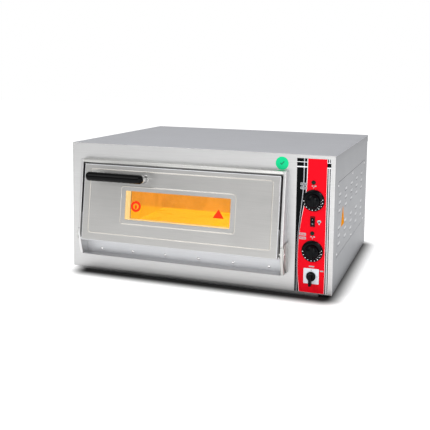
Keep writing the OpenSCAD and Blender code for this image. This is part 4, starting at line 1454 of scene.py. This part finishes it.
@dataclass
class Overlay(Assembly):
    """The printed film: columns of ink whose edges follow curves down the strip."""

    width: float = 104.5
    bottom: float = 3.6
    height: float = 415.0
    drawn: float = 107.5

    drawn_mid: float = 832.65
    drawn_top: float = 427.8

    def build(self) -> None:
        """Builds the film and its small printed marks."""
        x0, x1 = STRIP_X - self.width / 2, STRIP_X + self.width / 2
        v = np.linspace(0, self.height, 240)
        knots = np.array([0, 42, 84, 130, 172, 212, 255, 302, 355, 385, 413], float)
        red = np.interp(v, knots, [34.6, 34.6, 33.4, 29.0, 20.5, 14.0, 10.0, 8.6, 9.4, 12.0, 15.6])
        kernel = np.hanning(41) / np.hanning(41).sum()
        red = np.convolve(np.pad(red, 20, mode="edge"), kernel, mode="valid")
        left = np.interp(v, [0, 90, 180, 260, 413], [21.6, 20.6, 12.4, 5.2, 5.2])
        left = np.convolve(np.pad(left, 20, mode="edge"), kernel, mode="valid")
        thin = np.maximum((red - left) / 12.0, 0.25)
        edges = [0 * v, left, left + 1.6 * thin, left + 2.2 * thin, left + 3.2 * thin,
                 red - 2.6 * thin, red - 1.4 * thin, red]
        inks = [Ink.BLACK, Ink.GREY, Ink.WHITE, Ink.GREY, Ink.BLACK, Ink.GREY, Ink.WHITE]
        right = [(95.0, Ink.RED), (96.2, Ink.WHITE), (99.6, Ink.BLACK), (100.9, Ink.WHITE),
                 (102.2, Ink.GREY), (103.4, Ink.WHITE), (106.2, Ink.BLACK), (self.drawn, Ink.WHITE)]
        for end, ink in right:
            edges.append(np.full_like(v, end))
            inks.append(ink)
        cols = np.stack(edges, 1)
        xs = np.clip(x0 + cols * (self.width / self.drawn), x0, x1)
        zs = (self.bottom + self.height - v)[:, None] * np.ones(cols.shape[1])
        front = np.stack([xs, np.full_like(xs, -0.44), zs], -1)
        back = front + np.array([0, 0.43, 0])
        slots = np.tile(np.array(inks), (len(v) - 1, 1))
        vm = (v[1:] + v[:-1]) / 2
        for a, b in ((10.5, 13.0), (24.5, 27.0)):
            band = (vm > a) & (vm < b)
            slots[band, :7] = Ink.WHITE
            slots[band, 8:] = Ink.WHITE
        slots[(vm > 13.0) & (vm < 24.5), 8:] = Ink.BLACK
        s = Surface("printed_overlay").skin(front, back, at_front, Ink.BLACK, slots)
        self.icons(s)
        s.build([self.fin.red, self.fin.black, self.fin.white, self.fin.grey, self.fin.icon], Body.OVEN,
                "control_overlay", "printed_film")

    def icons(self, s: Surface) -> None:
        """Small plain marks: scale dashes, heating signs, a bulb and a pointer.

        Args:
            s: Surface to add to.
        """

        def spot(u: float, v: float) -> tuple[float, float]:
            """The X and height of a place on the drawing of the strip."""
            return STRIP_X + (u - self.drawn_mid) * self.width / self.drawn, self.drawn_top - v

        def mark(outline: np.ndarray, ink: Ink = Ink.MARK, lift: float = 0.0) -> None:
            """Prints one outline."""
            s.plate(outline, -0.48 - lift, -0.43 - lift, 0.01, at_front, ink)

        def box(u0: float, u1: float, v0: float, v1: float, ink: Ink = Ink.MARK,
                lift: float = 0.0) -> None:
            """Prints a rounded bar between two places of the drawing."""
            cx, cz = spot((u0 + u1) / 2, (v0 + v1) / 2)
            mark(rounded_outline(u1 - u0, v1 - v0, min(u1 - u0, v1 - v0) * 0.25, cx, cz, 3), ink, lift)

        for v0, dark in ((84.0, Ink.BLACK), (239.0, Ink.RED)):
            box(791.5, 812.5, v0, v0 + 8.6)
            box(791.5, 812.5, v0 + 12.0, v0 + 20.4)
            for k in range(4):
                u = 794.0 + k * 4.6
                box(u, u + 2.4, v0 + 2.2, v0 + 6.4, dark, 0.012)
                box(u, u + 2.4, v0 + 14.4, v0 + 18.2, dark, 0.012)
        for v0 in (90.5, 247.0):
            box(827.0, 831.5, v0, v0 + 3.6)
            box(835.5, 841.5, v0, v0 + 3.6)
            mark(np.array([(-1.8, 3.0), (1.8, 3.0), (0.0, -3.0)]) + spot(833.3, v0 + 7.4))
        box(824.7, 841.4, 339.6, 343.8)
        box(860.0, 870.6, 351.4, 355.6)
        mark(rounded_outline(12.0, 9.0, 4.4, *spot(853.3, 200.6), 6))
        box(851.3, 855.3, 204.0, 210.6)
        mark(rounded_outline(4.6, 5.0, 2.2, *spot(853.3, 203.0), 5), Ink.BLACK, 0.012)


@dataclass
class Dial(Assembly):
    """A thermostat knob: ringed skirt with dots, domed hub and a pointer bar."""

    name: str
    z: float
    body: Body
    node: str
    r: float = 33.5
    dots: int = 10
    first_dot: float = 184.0
    dot_step: float = 20.5
    inner_r: float = 24.6

    def build(self) -> None:
        """Builds one dial at its zero position."""
        r = self.r
        profile = [(-0.02, 0.02), (-0.02, r - 1.2), (-0.5, r - 0.35), (-1.3, r - 0.03),
                   (-3.2, r - 0.2), (-4.4, r - 0.7), (-5.5, r - 3.2), (-6.2, r - 6.0),
                   (-6.4, r - 8.6), (-6.6, 22.0), (-7.4, 21.6), (-12.0, 20.9), (-15.5, 20.2),
                   (-17.4, 19.2), (-19.2, 16.8), (-20.8, 13.2), (-22.0, 9.2), (-22.8, 4.8), (-23.0, 0.02)]
        s = Surface(self.name).turn(profile, (KNOB_X, 0.0, self.z), at_front, 1, 64)
        bar = round_polygon([(KNOB_X - 4.9, self.z - 17.6), (KNOB_X + 4.9, self.z - 17.6),
                             (KNOB_X + 3.9, self.z + 17.8), (KNOB_X - 3.9, self.z + 17.8)], 3.0)
        s.plate(bar, -25.9, -19.2, 1.6, at_front)
        for k in range(self.dots):
            t = math.radians(self.first_dot + k * self.dot_step)
            rad = r - 4.4
            c = (KNOB_X + rad * math.cos(t), self.z + rad * math.sin(t))
            size = 1.3 if k % 2 else 1.6
            s.turn([(0.3, 0.02), (0.3, size), (-0.35, size), (-0.55, size * 0.6), (-0.58, 0.02)],
                   (c[0], -5.9, c[1]), at_front, 1, 10, 1)
        for k in range(4):
            t = math.radians(-56.0 + k * 18.0)
            c = (KNOB_X + self.inner_r * math.cos(t), self.z + self.inner_r * math.sin(t))
            s.turn([(0.3, 0.02), (0.3, 0.8), (-0.3, 0.8), (-0.32, 0.02)], (c[0], -6.45, c[1]),
                   at_front, 1, 8, 1)
        rows = [(-0.06, r - 1.0), (-0.06, r - 0.02), (-0.7, r - 0.02), (-0.7, r - 1.0)]
        s.loft(circles(rows, KNOB_X, self.z, 64), at_front, 2, True)
        s.build([self.fin.knob, self.fin.white, self.fin.bright], self.body, self.node,
                "knob_plastic")


@dataclass
class Switches(Assembly):
    """Pilot lamps, lamp rocker and the main switch."""

    pilots: tuple[float, float] = (346.0, 189.2)
    rocker_z: float = 226.0
    cam_z: float = 56.0

    def build(self) -> None:
        """Builds the small devices."""
        self.pilot_lamps()
        self.rocker()
        self.main()

    def pilot_lamps(self) -> None:
        """Domed lenses in thin bezels, with their bodies behind the sheet."""
        s = Surface("pilot_pair")
        for z in self.pilots:
            s.turn([(19.9, 0.02), (19.9, 4.9), (-0.45, 4.9), (-0.5, 5.6), (-3.2, 5.2), (-3.8, 4.0),
                    (-3.95, 2.2), (-3.98, 0.02)], (STRIP_X, 0.0, z), at_front, 1, 32)
            rows = [(-0.5, 5.3), (-0.5, 6.48), (-1.9, 6.4), (-2.5, 5.9), (-2.5, 5.3)]
            s.loft(circles(rows, STRIP_X, z, 40), at_front, 1, True)
        s.build([self.fin.pilot, self.fin.casing_black], Body.OVEN, "pilot_lights", "pilot_lens")

    def rocker(self) -> None:
        """A bezel ring with a hollow, and a curved rocker with two plain marks."""
        z = self.rocker_z
        rows = [(-0.52, 14.4, 32.0), (-1.9, 14.4, 32.0), (-2.45, 13.6, 31.2), (-2.45, 11.9, 28.1),
                (7.9, 11.4, 27.6), (8.0, 11.9, 28.2), (19.9, 11.9, 28.2), (19.95, 12.0, 28.3),
                (-0.45, 12.0, 28.3)]
        Surface("rocker_bezel").loft(frames(rows, 0.9, STRIP_X, z), at_front, closed=True).build(
            [self.fin.casing_black], Body.OVEN, "rocker_housing", "knob_plastic")
        tilt = math.radians(8.0)

        def placed(p: np.ndarray) -> np.ndarray:
            """Tilts points about the rocker's axis and moves them to the strip.

            Args:
                p: Points about the axis.

            Returns:
                Points in the row frame.
            """
            c, sn = math.cos(tilt), math.sin(tilt)
            out = p.copy()
            out[..., 1] = p[..., 1] * c - p[..., 2] * sn
            out[..., 2] = p[..., 1] * sn + p[..., 2] * c
            return at_front(out + np.array([STRIP_X, 0.0, z]))

        t = np.linspace(-1, 1, 17)
        face = np.stack([-3.45 - 0.7 * t ** 2, t * 12.5], -1)
        section = np.concatenate([face, [(-1.2, 12.6), (2.3, 0.4), (2.3, -0.4), (-1.2, -12.6)]])
        s = Surface("rocker_key").bar(section, -5.15, 5.15, placed, 0, 0.5)
        s.bar(np.array(arc(0, 0, 1.15, 0, 345, 15)), -5.75, 5.75, placed, 0, 0.1)
        s.plate(rounded_outline(0.9, 4.6, 0.4, 0, 6.6), -4.0, -3.6, 0.05, placed, 1)
        ring = rounded_outline(4.4, 4.4, 2.1, 0, -6.6, 5)
        hole = rounded_outline(2.8, 2.8, 1.3, 0, -6.6, 5)
        s.loft(np.stack([_with_depth(o, d) for o, d in ((hole, -3.6), (ring, -3.6), (ring, -3.98),
                                                        (hole, -3.98))]), placed, 1, True)
        s.build([self.fin.knob, self.fin.icon], Body.LAMP, "lamp_rocker", "knob_plastic")

    def main(self) -> None:
        """The silver plate with its rim and marks, and the knob with its long finger."""
        z = self.cam_z
        s = Surface("main_plate")
        s.plate(rounded_outline(47.9, 47.9, 2.4, STRIP_X, z), -3.1, -0.52, 0.7, at_front)
        rim = [(-3.1, 43.0, 43.0), (-3.4, 42.6, 42.6), (-3.4, 41.0, 41.0), (-3.1, 40.6, 40.6)]
        s.loft(frames(rim, 1.6, STRIP_X, z), at_front, 0, True)
        for dx, dz in ((0, 18.4), (18.4, 0)):
            s.plate(rounded_outline(1.6 if dz else 3.4, 3.4 if dz else 1.6, 0.6, STRIP_X + dx, z + dz),
                    -3.2, -3.09, 0.03, at_front, 1)
        s.build([self.fin.silver, self.fin.black], Body.OVEN, "main_switch_plate", "switch_plate")
        k = Surface("main_key")
        k.turn([(-3.95, 0.02), (-3.95, 14.6), (-5.0, 14.95), (-8.5, 14.6), (-10.6, 13.9), (-11.6, 12.4),
                (-11.85, 9.0), (-11.88, 0.02)], (STRIP_X, 0.0, z), at_front, 1, 48)
        finger = round_polygon([(STRIP_X - 4.4, z - 26.9), (STRIP_X + 4.4, z - 26.9),
                                (STRIP_X + 4.95, z + 11.9), (STRIP_X - 4.95, z + 11.9)], 3.6)
        k.plate(finger, -25.9, -10.6, 1.8, at_front)
        k.build([self.fin.knob], Body.MAIN, "main_switch_knob", "knob_plastic")


# ---------- studio ----------


def posed(*columns: Sequence[float]) -> Matrix:
    """The matrix whose columns are three axes and a place."""
    return Matrix([*np.stack(columns, 1).tolist(), [0, 0, 0, 1]])


@dataclass
class Studio:
    """Floor, lamps, world and camera."""

    floor_z: float = 0.0
    floor_half: float = 9.0
    shadow_half: tuple[float, float] = (0.40, 0.352)
    shadow_fade: tuple[float, float] = (0.014, 0.095)
    sky: float = 0.5
    eye: tuple[float, float, float] = (0.80396, -2.37901, 0.69843)
    right: Colour = (0.94063832, 0.33922004, 0.01137186)
    up: Colour = (-0.0461767, 0.09470848, 0.99443352)
    back: Colour = (0.33625477, -0.93592738, 0.10475049)
    lens: float = 58.10
    shift_y: float = -0.1744

    def build(self) -> None:
        """Builds the whole studio."""
        scene = bpy.context.scene
        scene.view_settings.view_transform = "Standard"
        self.world(scene)
        self.floor()
        self.area("key", (-1.4, -3.0, 2.4), (0.0, -0.2, 0.2), 2.2, 34.0)
        self.area("fill", (2.9, -1.2, 1.4), (0.2, 0.0, 0.2), 1.8, 14.0)
        self.area("over", (0.0, 0.4, 3.0), (0.0, 0.0, 0.2), 2.4, 16.0)
        self.area("low", (0.7, -2.3, 0.42), (-0.1, -0.35, 0.08), 0.9, 5.0)
        self.area("spark", (-0.9, -2.0, 2.2), (0.2, -0.4, 0.3), 0.35, 9.0)
        self.area("flash", (1.05, -2.4, 1.05), (0.38, -0.35, 0.2), 0.28, 5.0)
        self.camera(scene)

    def world(self, scene: bpy.types.Scene) -> None:
        """A white world, dimmer as a light than it looks to the camera.

        Args:
            scene: Scene to light.
        """
        world = bpy.data.worlds.new("studio")
        world.use_nodes = True
        scene.world = world
        tree = world.node_tree
        seen = tree.nodes.new("ShaderNodeLightPath")
        power = tree.nodes.new("ShaderNodeMapRange")
        power.inputs["To Min"].default_value = self.sky
        tree.links.new(seen.outputs["Is Camera Ray"], power.inputs["Value"])
        tree.links.new(power.outputs[0], tree.nodes["Background"].inputs[1])
        tree.nodes["Background"].inputs[0].default_value = (1.0, 1.0, 1.0, 1.0)

    def floor(self) -> None:
        """A pale floor with a painted contact shadow, darkest where the oven stands and clear a hand's
        width from it.
        """
        n = 2
        t = np.linspace(-self.floor_half, self.floor_half, n)
        xx, yy = np.meshgrid(t, t)
        pts = np.stack([xx.ravel(), yy.ravel(), np.full(n * n, self.floor_z - 0.0005)], -1)
        mesh = bpy.data.meshes.new("floor")
        mesh.from_pydata(pts.tolist(), [], [tuple(int(i) for i in f) for f in grid_faces(n, n)])
        g = Graph("floor_painted_shadow")
        x, y, _ = g.axes()
        half_x, half_y = self.shadow_half
        dx = (abs(x - 0.02) - half_x).at_least(0.0)
        dy = (abs(y - 0.02) - half_y).at_least(0.0)
        gap = (dx * dx + dy * dy).root()
        # Painted contact shadow mask: 0 at the oven's footprint, 1 clear of it.
        clear = gap.ramp(*self.shadow_fade)
        paper = g.noise(g.coords(), 300.0, 3.0)
        pale = g.mix(paper, (0.9, 0.9, 0.9), (0.93, 0.93, 0.93))
        g.link("Base Color", g.mix(clear, (0.02, 0.02, 0.02), pale))
        g.link("Emission Color", g.mix(clear, (0.0, 0.0, 0.0), (1.0, 1.0, 1.0)))
        g.set(Roughness=0.9, Emission_Strength=0.66, Specular_IOR_Level=0.1)
        mesh.materials.append(g.material)
        obj = bpy.data.objects.new("floor", mesh)
        bpy.context.scene.collection.objects.link(obj)

    def area(self, name: str, at: Colour, aim: Colour, size: float, power: float) -> None:
        """A square lamp at a point, turned towards another.

        Args:
            name: Name of the lamp.
            at: Its place.
            aim: The point it faces.
            size: Its side.
            power: Its power in watts.
        """
        light = bpy.data.lights.new(name, "AREA")
        light.size, light.energy = size, power
        obj = bpy.data.objects.new(name, light)
        bpy.context.scene.collection.objects.link(obj)
        z = np.array(at, float) - np.array(aim, float)
        z /= np.linalg.norm(z)
        x = np.cross([0.0, 0.0, 1.0], z)
        x = x / np.linalg.norm(x) if np.linalg.norm(x) > 1e-6 else np.array([1.0, 0.0, 0.0])
        y = np.cross(z, x)
        obj.matrix_world = posed(x, y, z, at)

    def camera(self, scene: bpy.types.Scene) -> None:
        """The camera, from its right, up and back vectors.

        Args:
            scene: Scene to put it in.
        """
        cam = bpy.data.cameras.new("camera")
        cam.lens, cam.sensor_width, cam.shift_y = self.lens, 36.0, self.shift_y
        cam.clip_end = 50.0
        obj = bpy.data.objects.new("camera", cam)
        scene.collection.objects.link(obj)
        obj.matrix_world = posed(self.right, self.up, self.back, self.eye)
        scene.camera = obj


class Oven:
    """The whole oven."""

    def __init__(self, frame: dict) -> None:
        """Keeps the frame and makes the finishes."""
        self.frame, self.fin = frame, Finishes()

    def build(self) -> None:
        """Builds every assembly."""
        fin, frame = self.fin, self.frame
        Casing(fin, frame).build()
        MouthSurround(fin, frame).build()
        Door(fin, frame).build()
        Handle(fin, frame).build()
        Hinges(fin, frame).build()
        Inside(fin, frame).build()
        Overlay(fin, frame).build()
        Dial(fin, frame, "upper_dial_cap", 291.0, Body.UPPER, "upper_knob").build()
        Dial(fin, frame, "lower_dial_cap", 134.0, Body.LOWER, "lower_knob").build()
        Switches(fin, frame).build()


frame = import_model()


def main() -> None:
    """Builds the oven and its studio."""
    Oven(frame).build()
    Studio().build()


if __name__ == "__main__":
    main()
